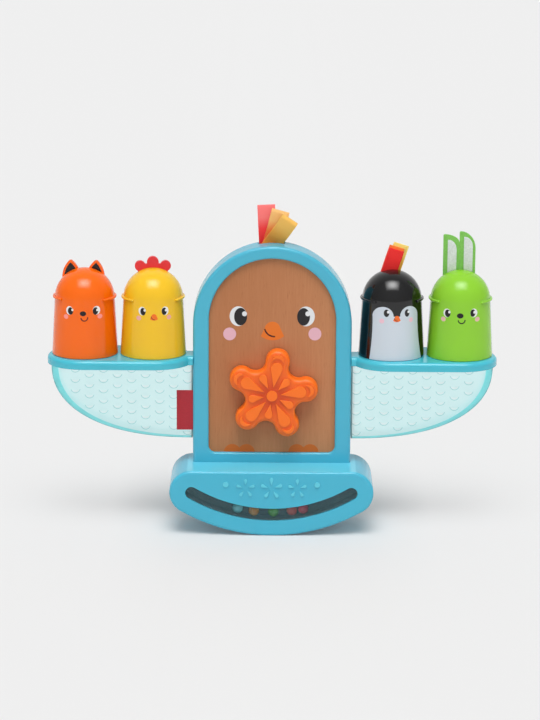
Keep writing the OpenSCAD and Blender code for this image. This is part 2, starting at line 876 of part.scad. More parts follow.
// crest: its slot in the body's roof, the sizes of its loops and their leans
crest_y = body_rear - body_wall - clip_wall - groove_half - fit_gap;
crest_x = -0.8;
crest_half = 9.8;
lean_gap = 0.8;
crest_red_len = 27.2;
crest_orange_len = 24.4;
crest_yellow_len = 23;
crest_bulge = 2.6;
crest_angle = 13;
crest_clip_top = arch_z + sqrt(pow(arch_r - body_wall, 2) - pow(crest_half + clip_wall - crest_x, 2)) - fit_gap;
red_angle = -3;
orange_angle = 15;
yellow_angle = 34;
red_x = -3.7;
orange_x = -0.6;
yellow_x = 0.2;

// Clip with a groove that the ribbon ends are glued into, its top at zero
module ribbon_clip(half) {
    translate([0, 0, -clip_h]) difference() {
        translate([-half, -groove_half - clip_wall, 0]) cube([2 * half, 2 * (groove_half + clip_wall), clip_h]);
        translate([-half - over, -groove_half, clip_floor]) cube([2 * (half + over), 2 * groove_half, clip_h]);
    }
}

// Round head of radius r on a wedge of half angle a, its middle at a height
module loop_fill(r, at, a) {
    translate([0, at]) circle(r);
    polygon([[0, at - r / sin(a)], [r * cos(a), at - r * sin(a)], [-r * cos(a), at - r * sin(a)]]);
}

// Section of a ribbon folded into a loop, in Y and Z, from zero up
module loop_section(height, bulge) {
    at = height - bulge;
    a = asin(bulge / at);
    difference() {
        loop_fill(bulge, at, a);
        loop_fill(bulge - ribbon_t, at, a);
    }
    translate([-ribbon_t, 0]) square([ply, at * ribbon_t / bulge]);
}

// Front of a ribbon that stands on its tail up to zero, leans there to one side, and ends at a length
module leaning_ribbon(width, tail, angle, length) {
    h = width / 2;
    side = angle > 0 ? 1 : -1;
    a = abs(angle);
    mirror([side > 0 ? 0 : 1, 0]) polygon([[-h, -tail], [h, -tail], [h, -h * tan(a / 2)],
        [h * cos(a) + length * sin(a), length * cos(a) - h * sin(a)],
        [length * sin(a) - h * cos(a), length * cos(a) + h * sin(a)], [-h * cos(a), h * sin(a)], [-h, 0]]);
}

// Two plies of a ribbon that stand up to zero and there turn to one side
module ribbon_tail(width, tail, angle) {
    h = width / 2;
    turn = angle > 0 ? -h : h;
    facing() translate([0, 0, -ribbon_t]) linear_extrude(ply) {
        translate([-h, -tail]) square([width, tail]);
        polygon([[0, -bond], [turn, -bond], [turn, 0], [turn * cos(angle), abs(turn * sin(angle))], [0, 0]]);
    }
}

module crest_slot() {
    half = slot_half + lean_gap;
    translate([crest_x - crest_half, crest_y - half, arch_z]) cube([2 * crest_half, 2 * half, body_h]);
}

module crest_clip() {
    color("#e8e8e6") translate([crest_x, crest_y, crest_clip_top]) ribbon_clip(crest_half + clip_wall);
}

// One loop of the crest, its row counted backwards from the middle one
module crest_ribbon(shade, x, row, angle, length) {
    color(shade) translate([x, crest_y + row * ply_step, body_top]) {
        rotate([0, angle, 0]) rotate([-row * crest_angle, 0, 0]) across(crest_w) loop_section(length, crest_bulge);
        ribbon_tail(crest_w, body_top - crest_clip_top + clip_h - clip_floor, angle);
    }
}

module crest_ribbon_red() { crest_ribbon("#e8323c", red_x, 1, red_angle, crest_red_len); }
module crest_ribbon_orange() { crest_ribbon("#fb7a34", orange_x, 0, orange_angle, crest_orange_len); }
module crest_ribbon_yellow() { crest_ribbon("#eeb452", yellow_x, -1, yellow_angle, crest_yellow_len); }

// Plain red tag, its edge held in a slit in the body's left side
tag_t = 0.8;
tag_up = 39;
tag_z = base_top + tag_up - tag_h / 2;
tag_y = -wing_w / 2 - mark_rise - fit_gap - tag_t;
tag_in = 1.6;

module tag_slit() {
    translate([-arch_r - over, tag_y, tag_z]) cube([tag_in + over, tag_t, tag_h]);
}

module side_tag() {
    color("#b91e2d") translate([-arch_r - tag_w, tag_y, tag_z]) cube([tag_w + tag_in, tag_t, tag_h]);
}

// Solid in a cup's outline, drawn in by wall and reaching below zero by dip
module cup_form(wall, dip) {
    rotate_extrude() {
        polygon([[0, -dip], [cup_base_r - wall, -dip], [cup_base_r - wall, 0],
            [cup_shoulder_r - wall, cup_side_h], [0, cup_side_h]]);
        intersection() {
            translate([0, dome_z]) circle(dome_r - wall);
            translate([0, cup_side_h - bond]) square([cup_base_r, cup_h]);
        }
    }
}

// Finger ribs round both sides of the shoulder
module cup_ribs() {
    at = cup_shoulder_r + rib_d * rib_sunk_share;
    for (side = [0, 1]) mirror([side, 0, 0]) translate([0, 0, cup_side_h]) {
        rotate(-rib_angle / 2) rotate_extrude(angle = rib_angle) translate([at, 0]) circle(rib_d / 2);
        for (end = sides) rotate(end * rib_angle / 2) translate([at, 0, 0]) sphere(rib_d / 2);
    }
}

module cup() {
    difference() {
        union() {
            cup_form(0, 0);
            cup_ribs();
            children();
        }
        cup_form(cup_wall, over);
        rotate_extrude() translate([cup_base_r, 0]) corner_nick(cup_rim_round);
    }
}

// A cup's place on its tray, turned about its own axis
module standing(x, turn) {
    translate([x, cup_back, tray_z]) rotate(turn) children();
}

// Fox: pointed ears moulded on the dome
fox_ear_t = 3;
fox_ear_y = 3.4;
fox_ear_at = 8.8;
fox_ear_w = 13.4;
fox_ear_h = 13;
fox_ear_sunk = 8;
fox_ear_tip = 1.9;
fox_ears_x = -1.1;
fox_ear_angle = -3;
arch_steps = 16;
tip_steps = 12;

// Pointed arch of two arcs that run into a round tip
module pointed_arch(width, height, tip) {
    rise = height - tip;
    r = (rise * rise + width * width / 4 - tip * tip) / (width - 2 * tip);
    a = atan2(rise, r - width / 2);
    side = [for (i = [0:arch_steps]) [width / 2 - r, 0] + r * [cos(a * i / arch_steps), sin(a * i / arch_steps)]];
    crown = [for (i = [1:tip_steps - 1]) let (b = a + (180 - 2 * a) * i / tip_steps)
        [0, rise] + tip * [cos(b), sin(b)]];
    polygon(concat(side, crown, [for (i = [arch_steps:-1:0]) [-side[i][0], side[i][1]]]));
}

module fox_ears() {
    facing() translate([fox_ears_x, 0, fox_ear_y - fox_ear_t / 2]) linear_extrude(fox_ear_t) for (side = [0, 1])
        mirror([side, 0]) translate([fox_ear_at, cup_h - fox_ear_sunk]) rotate(fox_ear_angle)
        pointed_arch(fox_ear_w, fox_ear_h, fox_ear_tip);
}

module fox_cup() {
    color("#f06c20") standing(-outer_cup_at, fox_turn) cup() fox_ears();
}

// Chick: a red comb in a slot through the dome
comb_t = 3;
comb_y = 4.2;
comb_w = 22;
comb_sunk = 7;
comb_rise = 0.6;
comb_side_x = 9.3;
comb_side_r = 3.9;
comb_side_up = 1;
comb_mid_r = 4.3;
comb_mid_up = 3.7;
comb_web_w = 12;
comb_web_up = 2.6;

module chick_cup() {
    color("#eebe3c") standing(-inner_cup_at, chick_turn) difference() {
        cup();
        translate([-comb_w / 2 - pin_gap, comb_y - comb_t / 2 - pin_gap, dome_z])
            cube([comb_w + 2 * pin_gap, comb_t + 2 * pin_gap, cup_h]);
    }
}

module chick_comb() {
    color("#e03038") standing(-inner_cup_at, chick_turn) facing()
        translate([0, 0, comb_y - comb_t / 2]) linear_extrude(comb_t) {
            translate([-comb_w / 2, cup_h - comb_sunk]) square([comb_w, comb_sunk + comb_rise]);
            for (side = sides) translate([side * comb_side_x, cup_h + comb_side_up]) circle(comb_side_r);
            translate([0, cup_h + comb_mid_up]) circle(comb_mid_r);
            translate([-comb_web_w / 2, cup_h]) square([comb_web_w, comb_web_up]);
        }
}

// Penguin: three folded ribbons that angle to the right, from a slot in the dome
tuft_y = 2.6;
tuft_half = 8.2;
tuft_angle = 18.5;
tuft_sunk = 1;
tuft_left_x = -2;
tuft_right_x = 0.9;
red_len = 15.3;
orange_len = 17.2;
yellow_len = 19;
tuft_clip_r = sqrt(pow(tuft_half + clip_wall, 2) + pow(tuft_y + groove_half + clip_wall, 2));
tuft_clip_top = dome_z + sqrt(pow(dome_r - cup_wall, 2) - pow(tuft_clip_r, 2)) - fit_gap;

module penguin_cup() {
    color("#232325") standing(inner_cup_at, penguin_turn) difference() {
        cup();
        translate([-tuft_half, tuft_y - slot_half, dome_z]) cube([2 * tuft_half, 2 * slot_half, cup_h]);
    }
}

// One folded ribbon, its row counted backwards from the middle one
module tuft_ribbon(shade, x, row, length) {
    top = cup_h - tuft_sunk;
    color(shade) standing(inner_cup_at, penguin_turn) translate([x, tuft_y + row * ply_step, top])
        facing() translate([0, 0, -ribbon_t]) linear_extrude(ply)
        leaning_ribbon(tuft_w, top - tuft_clip_top + clip_h - clip_floor, tuft_angle, length + tuft_sunk);
}

module tuft_ribbon_red() { tuft_ribbon("#e0222c", tuft_left_x, -1, red_len); }
module tuft_ribbon_orange() { tuft_ribbon("#fb7a34", tuft_left_x, 0, orange_len); }
module tuft_ribbon_yellow() { tuft_ribbon("#fbd85a", tuft_right_x, 1, yellow_len); }

module tuft_clip() {
    color("#e8e8e6") standing(inner_cup_at, penguin_turn) translate([0, tuft_y, tuft_clip_top])
        ribbon_clip(tuft_half + clip_wall);
}

// Bunny: flat felt ears in a slot across the dome, with pale linings glued on
ears_y = 3.4;
ears_w = 23.6;
ears_x = -1.5;
ears_sunk = 7;
left_ear_h = 25.8;
right_ear_h = 28.2;
left_ear_drop = 6;
right_ear_drop = 12.5;
lining_t = 0.5;
lining_w = 6.5;
lining_in = 3.3;
lining_drop = 3.8;
lining_round = 7.2;
ear_tip_share = 0.06;
ear_steps = 8;

// Top of one ear: a straight left edge, a tip and a curve that falls to the right
function ear_top(x, w, high, drop) = concat([[x, high - w * ear_tip_share], [x + w * ear_tip_share, high]],
    [for (i = [1:ear_steps]) let (t = 90 * i / ear_steps)
        [x + w * (ear_tip_share + (1 - ear_tip_share) * sin(t)), high - drop * (1 - cos(t))]]);

module bunny_cup() {
    color("#8ccd46") standing(outer_cup_at, bunny_turn) difference() {
        cup();
        translate([ears_x - ears_w / 2 - fit_gap, ears_y - felt_t / 2 - fit_gap, dome_z])
            cube([ears_w + 2 * fit_gap, felt_t + 2 * fit_gap, cup_h]);
    }
}

module bunny_ears() {
    w = ears_w / 2;
    color("#78bf50") standing(outer_cup_at, bunny_turn) translate([ears_x - w, 0, cup_h]) facing()
        translate([0, 0, ears_y - felt_t / 2]) linear_extrude(felt_t)
        polygon(concat([[0, -ears_sunk]], ear_top(0, w, left_ear_h, left_ear_drop),
            ear_top(w, w, right_ear_h, right_ear_drop), [[ears_w, -ears_sunk]]));
}

module bunny_ear_linings() {
    w = ears_w / 2;
    color("#dfe5df") standing(outer_cup_at, bunny_turn) difference() {
        translate([ears_x - w, 0, cup_h]) facing() translate([0, 0, ears_y - felt_t / 2 - lining_t])
            linear_extrude(lining_t) {
                ear_lining(lining_in, left_ear_h - lining_drop);
                ear_lining(w + lining_in, right_ear_h - lining_drop);
            }
        translate([0, 0, dome_z]) sphere(dome_r + fit_gap);
    }
}

module ear_lining(x, high) {
    polygon(concat([[x, -ears_sunk]], ear_top(x, lining_w, high, lining_round), [[x + lining_w, -ears_sunk]]));
}

base_front_shell();
base_rear_shell();
window_lens();
bead_track();
track_screws();
base_screws();
foot_screws();
body_front_frame();
body_rear_cover();
wood_face_panel();
body_screws();
spinner_bush();
left_tray();
right_tray();
left_wing_shell();
right_wing_shell();
crest_clip();
crest_ribbon_red();
crest_ribbon_orange();
crest_ribbon_yellow();
side_tag();
spinner_flower();
spinner_axle();
axle_retainer();
bead_light_blue();
bead_amber();
bead_green();
bead_dark_red();
bead_pink();
fox_cup();
chick_cup();
chick_comb();
penguin_cup();
tuft_clip();
tuft_ribbon_red();
tuft_ribbon_orange();
tuft_ribbon_yellow();
bunny_cup();
bunny_ears();
bunny_ear_linings();
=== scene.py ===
"""Toddler's rocking bird with wings that carry four nesting cups: the looks of the real toy."""
import math

import bpy
from mathutils import Matrix, Vector

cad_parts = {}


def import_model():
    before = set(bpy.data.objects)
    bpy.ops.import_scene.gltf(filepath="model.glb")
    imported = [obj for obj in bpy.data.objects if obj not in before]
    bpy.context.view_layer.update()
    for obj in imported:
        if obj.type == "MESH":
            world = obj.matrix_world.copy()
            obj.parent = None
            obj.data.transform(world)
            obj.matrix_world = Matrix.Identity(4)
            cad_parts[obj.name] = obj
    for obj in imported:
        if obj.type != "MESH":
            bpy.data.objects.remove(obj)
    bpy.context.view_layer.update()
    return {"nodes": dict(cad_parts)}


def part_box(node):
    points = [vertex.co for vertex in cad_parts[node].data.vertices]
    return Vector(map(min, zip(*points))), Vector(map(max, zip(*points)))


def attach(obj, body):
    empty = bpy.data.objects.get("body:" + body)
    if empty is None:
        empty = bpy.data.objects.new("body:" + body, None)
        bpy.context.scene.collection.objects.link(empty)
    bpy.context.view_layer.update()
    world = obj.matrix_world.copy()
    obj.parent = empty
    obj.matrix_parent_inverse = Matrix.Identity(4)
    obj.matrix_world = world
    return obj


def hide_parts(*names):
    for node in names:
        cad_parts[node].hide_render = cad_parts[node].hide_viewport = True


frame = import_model()


# The picture
# The toy stands on a pale table in a pale room, before a small studio camera that looks a little down on it. One
# softbox, brightest in its middle, hangs above and in front, and shows as a pale patch on every dome.
MM = 0.001
PITCH = math.radians(13.3)
ROLL = math.radians(0.35)
AIM = Vector((-1.6, 0, 123.3)) * MM
AWAY = 2.1
camera = bpy.data.cameras.new("studio_camera")
camera.sensor_fit = "HORIZONTAL"
camera.sensor_width = 36
camera.lens = 190.4
camera.clip_end = 40
camera_stand = bpy.data.objects.new("studio_camera", camera)
bpy.context.scene.collection.objects.link(camera_stand)
camera_stand.matrix_world = (Matrix.Translation(AIM) @ Matrix.Rotation(math.pi / 2 - PITCH, 4, "X")
                             @ Matrix.Rotation(ROLL, 4, "Z") @ Matrix.Translation((0, 0, AWAY)))
bpy.context.scene.camera = camera_stand
bpy.context.scene.view_settings.view_transform = "Standard"


def linear(red, green, blue):
    """A colour as seen on a screen, 0 to 255, in the renderer's own linear values."""
    def part(v):
        v /= 255
        return v / 12.92 if v <= 0.04045 else ((v + 0.055) / 1.055) ** 2.4
    return (part(red), part(green), part(blue), 1)


def maths(tree, operation, *values):
    """One step of arithmetic between numbers or node outputs."""
    node = tree.nodes.new("ShaderNodeMath")
    node.operation = operation
    for socket, value in zip(node.inputs, values):
        if isinstance(value, (int, float)):
            socket.default_value = value
        else:
            tree.links.new(value, socket)
    return node.outputs[0]


def clamped(tree, value):
    node = tree.nodes.new("ShaderNodeClamp")
    tree.links.new(value, node.inputs["Value"])
    return node.outputs[0]


def past(tree, value, start, slope):
    """A share that grows from 0 to 1 as a value goes past a start."""
    return clamped(tree, maths(tree, "MULTIPLY", maths(tree, "SUBTRACT", value, start), slope))


def before(tree, value, end, slope):
    """A share that falls from 1 to 0 as a value comes up to an end."""
    return clamped(tree, maths(tree, "MULTIPLY", maths(tree, "SUBTRACT", end, value), slope))


world = bpy.data.worlds.new("studio")
bpy.context.scene.world = world
world.use_nodes = True
tree = world.node_tree
split = tree.nodes.new("ShaderNodeSeparateXYZ")
tree.links.new(tree.nodes.new("ShaderNodeTexCoord").outputs["Generated"], split.inputs["Vector"])
east, north, up = split.outputs
RISE = math.radians(67)
HALF_WIDE, HALF_DEEP = 0.48, 0.42
SOFTBOX_EDGE, SOFTBOX_LIGHT, SOFTBOX_CORE = 6, 0.93, 8.4
ROOM, CEILING, WALL_BEHIND_CAMERA, WALL_BEHIND_TOY = 0.27, 0.16, 0.22, 0.4
BACKDROP = 0.86
ahead = maths(tree, "SUBTRACT", maths(tree, "MULTIPLY", up, math.sin(RISE)),
              maths(tree, "MULTIPLY", north, math.cos(RISE)))
above = maths(tree, "ADD", maths(tree, "MULTIPLY", up, math.cos(RISE)),
              maths(tree, "MULTIPLY", north, math.sin(RISE)))
softbox, core = maths(tree, "GREATER_THAN", ahead, 0), 1
for way, half in ((east, HALF_WIDE), (above, HALF_DEEP)):
    off = maths(tree, "ABSOLUTE", maths(tree, "DIVIDE", maths(tree, "DIVIDE", way, ahead), half))
    softbox = maths(tree, "MULTIPLY", softbox, before(tree, off, 1, SOFTBOX_EDGE))
    core = maths(tree, "MULTIPLY", core, clamped(tree, maths(tree, "SUBTRACT", 1, maths(tree, "MULTIPLY", off, off))))
room = ROOM
for way, share in ((up, CEILING), (maths(tree, "MULTIPLY", north, -1), WALL_BEHIND_CAMERA),
                   (north, WALL_BEHIND_TOY)):
    room = maths(tree, "ADD", room, maths(tree, "MULTIPLY", clamped(tree, way), share))
core = maths(tree, "MULTIPLY", core, core)
glow = maths(tree, "ADD", SOFTBOX_LIGHT, maths(tree, "MULTIPLY", core, SOFTBOX_CORE))
lit = maths(tree, "ADD", room, maths(tree, "MULTIPLY", softbox, glow))
path = tree.nodes.new("ShaderNodeLightPath")
seen = clamped(tree, maths(tree, "ADD", path.outputs["Is Camera Ray"], path.outputs["Is Transmission Ray"]))
light = maths(tree, "ADD", maths(tree, "MULTIPLY", seen, BACKDROP),
              maths(tree, "MULTIPLY", maths(tree, "SUBTRACT", 1, seen), lit))
sky = tree.nodes["Background"]
sky.inputs["Color"].default_value = (1, 1, 1, 1)
tree.links.new(light, sky.inputs["Strength"])

TABLE_GREY = 0.753
# The table's own shading shows most under the base, within this half width in metres; farther out it is paler.
UNDER_BASE, VEIL_NEAR, VEIL_FAR = 0.07, 0.08, 0.53
bpy.ops.mesh.primitive_plane_add(size=30, location=(0, 4, 0))
table = bpy.context.object
table.name = "table"
table_paint = bpy.data.materials.new("table_paint")
table_paint.use_nodes = True
tree = table_paint.node_tree
shade = tree.nodes["Principled BSDF"]
shade.inputs["Base Color"].default_value = (TABLE_GREY, TABLE_GREY, TABLE_GREY, 1)
shade.inputs["Roughness"].default_value = 0.9
shade.inputs["Specular IOR Level"].default_value = 0.1
pale = tree.nodes.new("ShaderNodeEmission")
pale.inputs["Color"].default_value = linear(239, 239, 239)
path = tree.nodes.new("ShaderNodeLightPath")
spot = tree.nodes.new("ShaderNodeSeparateXYZ")
tree.links.new(tree.nodes.new("ShaderNodeTexCoord").outputs["Object"], spot.inputs["Vector"])
clear = past(tree, maths(tree, "ABSOLUTE", spot.outputs[0]), UNDER_BASE, 20)
veil = maths(tree, "ADD", VEIL_NEAR, maths(tree, "MULTIPLY", clear, VEIL_FAR))
seen = maths(tree, "MULTIPLY", path.outputs["Is Camera Ray"], veil)
both = tree.nodes.new("ShaderNodeMixShader")
tree.links.new(seen, both.inputs[0])
tree.links.new(shade.outputs[0], both.inputs[1])
tree.links.new(pale.outputs[0], both.inputs[2])
tree.links.new(both.outputs[0], tree.nodes["Material Output"].inputs["Surface"])
table.data.materials.append(table_paint)


# Base
# The rocker base is two moulded ABS shells, joined from behind by screws. Its front carries raised dots and petals
# and a curved slot. The plastic is satin, with a fine mould texture and soft edges.
MOULD_TEXTURE = 0.00001


def blend_shades(tree, share, low, high):
    """Mixes two colours, or node outputs of colour, by a share."""
    node = tree.nodes.new("ShaderNodeMix")
    node.data_type = "RGBA"
    if isinstance(share, (int, float)):
        node.inputs[0].default_value = share
    else:
        tree.links.new(share, node.inputs[0])
    for socket, value in ((node.inputs[6], low), (node.inputs[7], high)):
        if isinstance(value, tuple):
            socket.default_value = value
        else:
            tree.links.new(value, socket)
    return node.outputs[2]


def uneven(tree, share, colour, low, high):
    """A colour that varies with a share between low and high multiples of its red, green and blue."""
    return blend_shades(tree, share, tuple(c * k for c, k in zip(colour, low)) + (1,),
                        tuple(min(1, c * k) for c, k in zip(colour, high)) + (1,))


def grain(tree, scale, stretch=(1, 1, 1), detail=3, vector=None):
    """Noise on object coordinates, its size given in waves per metre."""
    if vector is None:
        vector = tree.nodes.new("ShaderNodeTexCoord").outputs["Object"]
    turn = tree.nodes.new("ShaderNodeMapping")
    turn.inputs["Scale"].default_value = [scale * s for s in stretch]
    tree.links.new(vector, turn.inputs["Vector"])
    noise = tree.nodes.new("ShaderNodeTexNoise")
    noise.inputs["Scale"].default_value = 1
    noise.inputs["Detail"].default_value = detail
    tree.links.new(turn.outputs["Vector"], noise.inputs["Vector"])
    return noise.outputs["Fac"]


def relief(tree, shade, height, depth, edge=0.0):
    """Bump of a given depth in metres from a height between 0 and 1, on edges that look rounded by a radius."""
    bump = tree.nodes.new("ShaderNodeBump")
    if edge:
        rounded = tree.nodes.new("ShaderNodeBevel")
        rounded.samples = 6
        rounded.inputs["Radius"].default_value = edge * MM
        tree.links.new(rounded.outputs["Normal"], bump.inputs["Normal"])
    bump.inputs["Strength"].default_value = 1
    bump.inputs["Distance"].default_value = depth
    tree.links.new(height, bump.inputs["Height"])
    tree.links.new(bump.outputs["Normal"], shade.inputs["Normal"])


def new_finish(name):
    finish = bpy.data.materials.new(name)
    finish.use_nodes = True
    return finish, finish.node_tree, finish.node_tree.nodes["Principled BSDF"]


def moulded_plastic(name, colour, roughness=0.3, coat=0.0, edge=0.35):
    """Satin moulded plastic: a faint unevenness of colour, and the mould's fine texture."""
    finish, tree, shade = new_finish(name)
    cloud = uneven(tree, grain(tree, 22, detail=2), colour, (0.95, 0.95, 0.96), (1.05, 1.05, 1.04))
    tree.links.new(cloud, shade.inputs["Base Color"])
    shade.inputs["Roughness"].default_value = roughness
    shade.inputs["Specular IOR Level"].default_value = 0.35
    shade.inputs["Coat Weight"].default_value = coat
    shade.inputs["Coat Roughness"].default_value = 0.12
    relief(tree, shade, grain(tree, 1400, detail=2), MOULD_TEXTURE, edge)
    return finish


nodes = frame["nodes"]
SAME_POINT = 0.000004


def round_off(node, sharp=32):
    """Smooth shading on a node's own mesh: its loose triangles are joined, and only real edges stay sharp."""
    name = "smooth_to_%d" % sharp
    group = bpy.data.node_groups.get(name)
    if group is None:
        group = bpy.data.node_groups.new(name, "GeometryNodeTree")
        group.interface.new_socket("Geometry", in_out="INPUT", socket_type="NodeSocketGeometry")
        group.interface.new_socket("Geometry", in_out="OUTPUT", socket_type="NodeSocketGeometry")
        start = group.nodes.new("NodeGroupInput")
        end = group.nodes.new("NodeGroupOutput")
        join = group.nodes.new("GeometryNodeMergeByDistance")
        join.inputs["Distance"].default_value = SAME_POINT
        faces = group.nodes.new("GeometryNodeSetShadeSmooth")
        faces.domain = "FACE"
        edges = group.nodes.new("GeometryNodeSetShadeSmooth")
        edges.domain = "EDGE"
        edges.inputs["Shade Smooth"].default_value = False
        angle = group.nodes.new("GeometryNodeInputMeshEdgeAngle")
        real = group.nodes.new("FunctionNodeCompare")
        real.operation = "GREATER_THAN"
        real.inputs[1].default_value = math.radians(sharp)
        group.links.new(start.outputs[0], join.inputs["Geometry"])
        group.links.new(join.outputs["Geometry"], faces.inputs["Geometry"])
        group.links.new(faces.outputs["Geometry"], edges.inputs["Geometry"])
        group.links.new(angle.outputs["Unsigned Angle"], real.inputs[0])
        group.links.new(real.outputs["Result"], edges.inputs["Selection"])
        group.links.new(edges.outputs["Geometry"], end.inputs[0])
    smooth = nodes[node].modifiers.new("smooth", "NODES")
    smooth.node_group = group
    flat = nodes[node].modifiers.new("flats", "WEIGHTED_NORMAL")
    flat.keep_sharp = True
    flat.mode = "FACE_AREA_WITH_ANGLE"


def dress(node, finish, sharp=32):
    nodes[node].data.materials.clear()
    nodes[node].data.materials.append(finish)
    round_off(node, sharp)


base_blue = moulded_plastic("base_blue", linear(72, 182, 210), roughness=0.26, coat=0.15, edge=0.3)
tree = base_blue.node_tree
shade = tree.nodes["Principled BSDF"]
spot = tree.nodes.new("ShaderNodeSeparateXYZ")
tree.links.new(tree.nodes.new("ShaderNodeTexCoord").outputs["Object"], spot.inputs["Vector"])
# The raised dots stand out past this depth, and the top lies above this height: both are painted paler, a painted
# highlight for the light they catch.
DOTS_FROM, PAINTED_LIGHT_TOP_FROM, STEP = -0.03815, 0.04788, 4000
raised_dots_painted_light = before(tree, spot.outputs[1], DOTS_FROM, STEP)
shell = blend_shades(tree, raised_dots_painted_light, shade.inputs["Base Color"].links[0].from_socket, linear(98, 206, 226))
# The top of the base is painted paler: a painted highlight where the light from above falls on it.
top = past(tree, spot.outputs[2], PAINTED_LIGHT_TOP_FROM, STEP)
tree.links.new(blend_shades(tree, top, shell, linear(104, 206, 230)), shade.inputs["Base Color"])
for node in ("base_front_shell", "base_rear_shell"):
    dress(node, base_blue)

# Slot window
# A strip of smoky clear plastic closes the slot from inside. Behind it a dark grey moulded track holds the beads,
# fixed to the front shell by three small screws.
smoky, tree, shade = new_finish("smoky_clear")
tree.links.new(blend_shades(tree, grain(tree, 60), linear(80, 120, 128), linear(90, 130, 138)),
               shade.inputs["Base Color"])
shade.inputs["Alpha"].default_value = 0.2
shade.inputs["Roughness"].default_value = 0.16
relief(tree, shade, grain(tree, 300), MOULD_TEXTURE)
dress("window_lens", smoky)
dress("bead_track", moulded_plastic("track_grey", linear(112, 128, 132), roughness=0.45))

# Beads
# Five loose balls of coloured acrylic roll in the track from end to end.
for node, colour in (("bead_light_blue", linear(150, 245, 255)), ("bead_amber", linear(255, 170, 40)),
                     ("bead_green", linear(120, 215, 50)), ("bead_dark_red", linear(255, 80, 50)),
                     ("bead_pink", linear(255, 50, 80))):
    dress(node, moulded_plastic(node + "_acrylic", colour, roughness=0.12, coat=0.5))

# Screws
# Zinc-plated steel screws with a cross recess hold the shells, the body and the track.
steel, tree, shade = new_finish("zinc_steel")
tree.links.new(blend_shades(tree, grain(tree, 900), linear(176, 178, 182), linear(206, 208, 210)),
               shade.inputs["Base Color"])
shade.inputs["Metallic"].default_value = 1
shade.inputs["Roughness"].default_value = 0.32
relief(tree, shade, grain(tree, 2500, (1, 6, 1)), 0.00002)
for node in ("track_screws", "base_screws", "foot_screws", "body_screws", "spinner_axle"):
    dress(node, steel)

# Body
# The arched body is a moulded frame and a rear cover of the same blue ABS, held together by four screws. Its front
# edge is rounded, and the opening frames a printed wooden panel.
body_blue = moulded_plastic("body_blue", linear(74, 180, 207), roughness=0.24, coat=0.25, edge=0.5)
for node in ("body_front_frame", "body_rear_cover"):
    dress(node, body_blue)

# Wooden panel
# A 5 mm beech board, sanded and clear-lacquered, its grain upright. The bird's eyes, cheeks, beak and feet are
# printed on it in matt ink before it goes into the frame.
INK_EDGE = 0.12


def places(tree, at=(0, 0, 0), turn=0.0):
    """X, Y and Z in millimetres from a point, in a frame turned about Z by an angle in degrees."""
    spot = tree.nodes.new("ShaderNodeMapping")
    spot.vector_type = "TEXTURE"
    spot.inputs["Location"].default_value = [v * MM for v in at]
    spot.inputs["Rotation"].default_value = (0, 0, math.radians(turn))
    spot.inputs["Scale"].default_value = (MM, MM, MM)
    tree.links.new(tree.nodes.new("ShaderNodeTexCoord").outputs["Object"], spot.inputs["Vector"])
    split = tree.nodes.new("ShaderNodeSeparateXYZ")
    tree.links.new(spot.outputs["Vector"], split.inputs["Vector"])
    return split.outputs


def inside(tree, depth):
    """Share of ink from a depth in millimetres inside a printed edge."""
    return maths(tree, "ADD", maths(tree, "DIVIDE", depth, INK_EDGE), 0.5)


def distance(tree, x, z, at):
    dx = maths(tree, "SUBTRACT", x, at[0])
    dz = maths(tree, "SUBTRACT", z, at[1])
    return maths(tree, "SQRT", maths(tree, "ADD", maths(tree, "MULTIPLY", dx, dx), maths(tree, "MULTIPLY", dz, dz)))


def oval(tree, x, z, at, wide, high):
    """A printed oval."""
    u = maths(tree, "DIVIDE", maths(tree, "SUBTRACT", x, at[0]), wide)
    w = maths(tree, "DIVIDE", maths(tree, "SUBTRACT", z, at[1]), high)
    depth = maths(tree, "MULTIPLY", maths(tree, "SUBTRACT", 1, distance(tree, u, w, (0, 0))), (wide + high) / 2)
    return clamped(tree, inside(tree, depth))


def smile(tree, x, z, at, r, towards, half, width):
    """A printed line along an arc, with its middle in a direction and its half length as an angle."""
    line = inside(tree, maths(tree, "SUBTRACT", width / 2,
                              maths(tree, "ABSOLUTE", maths(tree, "SUBTRACT", distance(tree, x, z, at), r))))
    along = maths(tree, "ADD", maths(tree, "MULTIPLY", maths(tree, "SUBTRACT", x, at[0]),
                                     math.cos(math.radians(towards))),
                  maths(tree, "MULTIPLY", maths(tree, "SUBTRACT", z, at[1]), math.sin(math.radians(towards))))
    ends = inside(tree, maths(tree, "SUBTRACT", along, r * math.cos(math.radians(half))))
    mark = maths(tree, "MINIMUM", line, ends)
    for side in (-1, 1):
        a = math.radians(towards + side * half)
        tip = (at[0] + r * math.cos(a), at[1] + r * math.sin(a))
        mark = maths(tree, "MAXIMUM", mark, inside(tree, maths(tree, "SUBTRACT", width / 2,
                                                                distance(tree, x, z, tip))))
    return clamped(tree, mark)


def beak(tree, x, z, at, size):
    """A rounded beak with flared lower corners, 17 mm wide at size 1."""
    u = maths(tree, "DIVIDE", maths(tree, "SUBTRACT", x, at[0]), size)
    w = maths(tree, "DIVIDE", maths(tree, "SUBTRACT", z, at[1]), size)
    crown = maths(tree, "SUBTRACT", 5.75, distance(tree, u, w, (0, 1.2)))
    sides = maths(tree, "SUBTRACT", maths(tree, "SUBTRACT", 6.7, maths(tree, "MULTIPLY", w, 0.46)),
                  maths(tree, "ABSOLUTE", u))
    sides = maths(tree, "MINIMUM", sides, maths(tree, "SUBTRACT", 3.4, w))
    sill = maths(tree, "SUBTRACT", 13.2, distance(tree, u, w, (0, 6.2)))
    depth = maths(tree, "MINIMUM", maths(tree, "MAXIMUM", crown, sides), sill)
    return clamped(tree, inside(tree, maths(tree, "MULTIPLY", depth, size)))


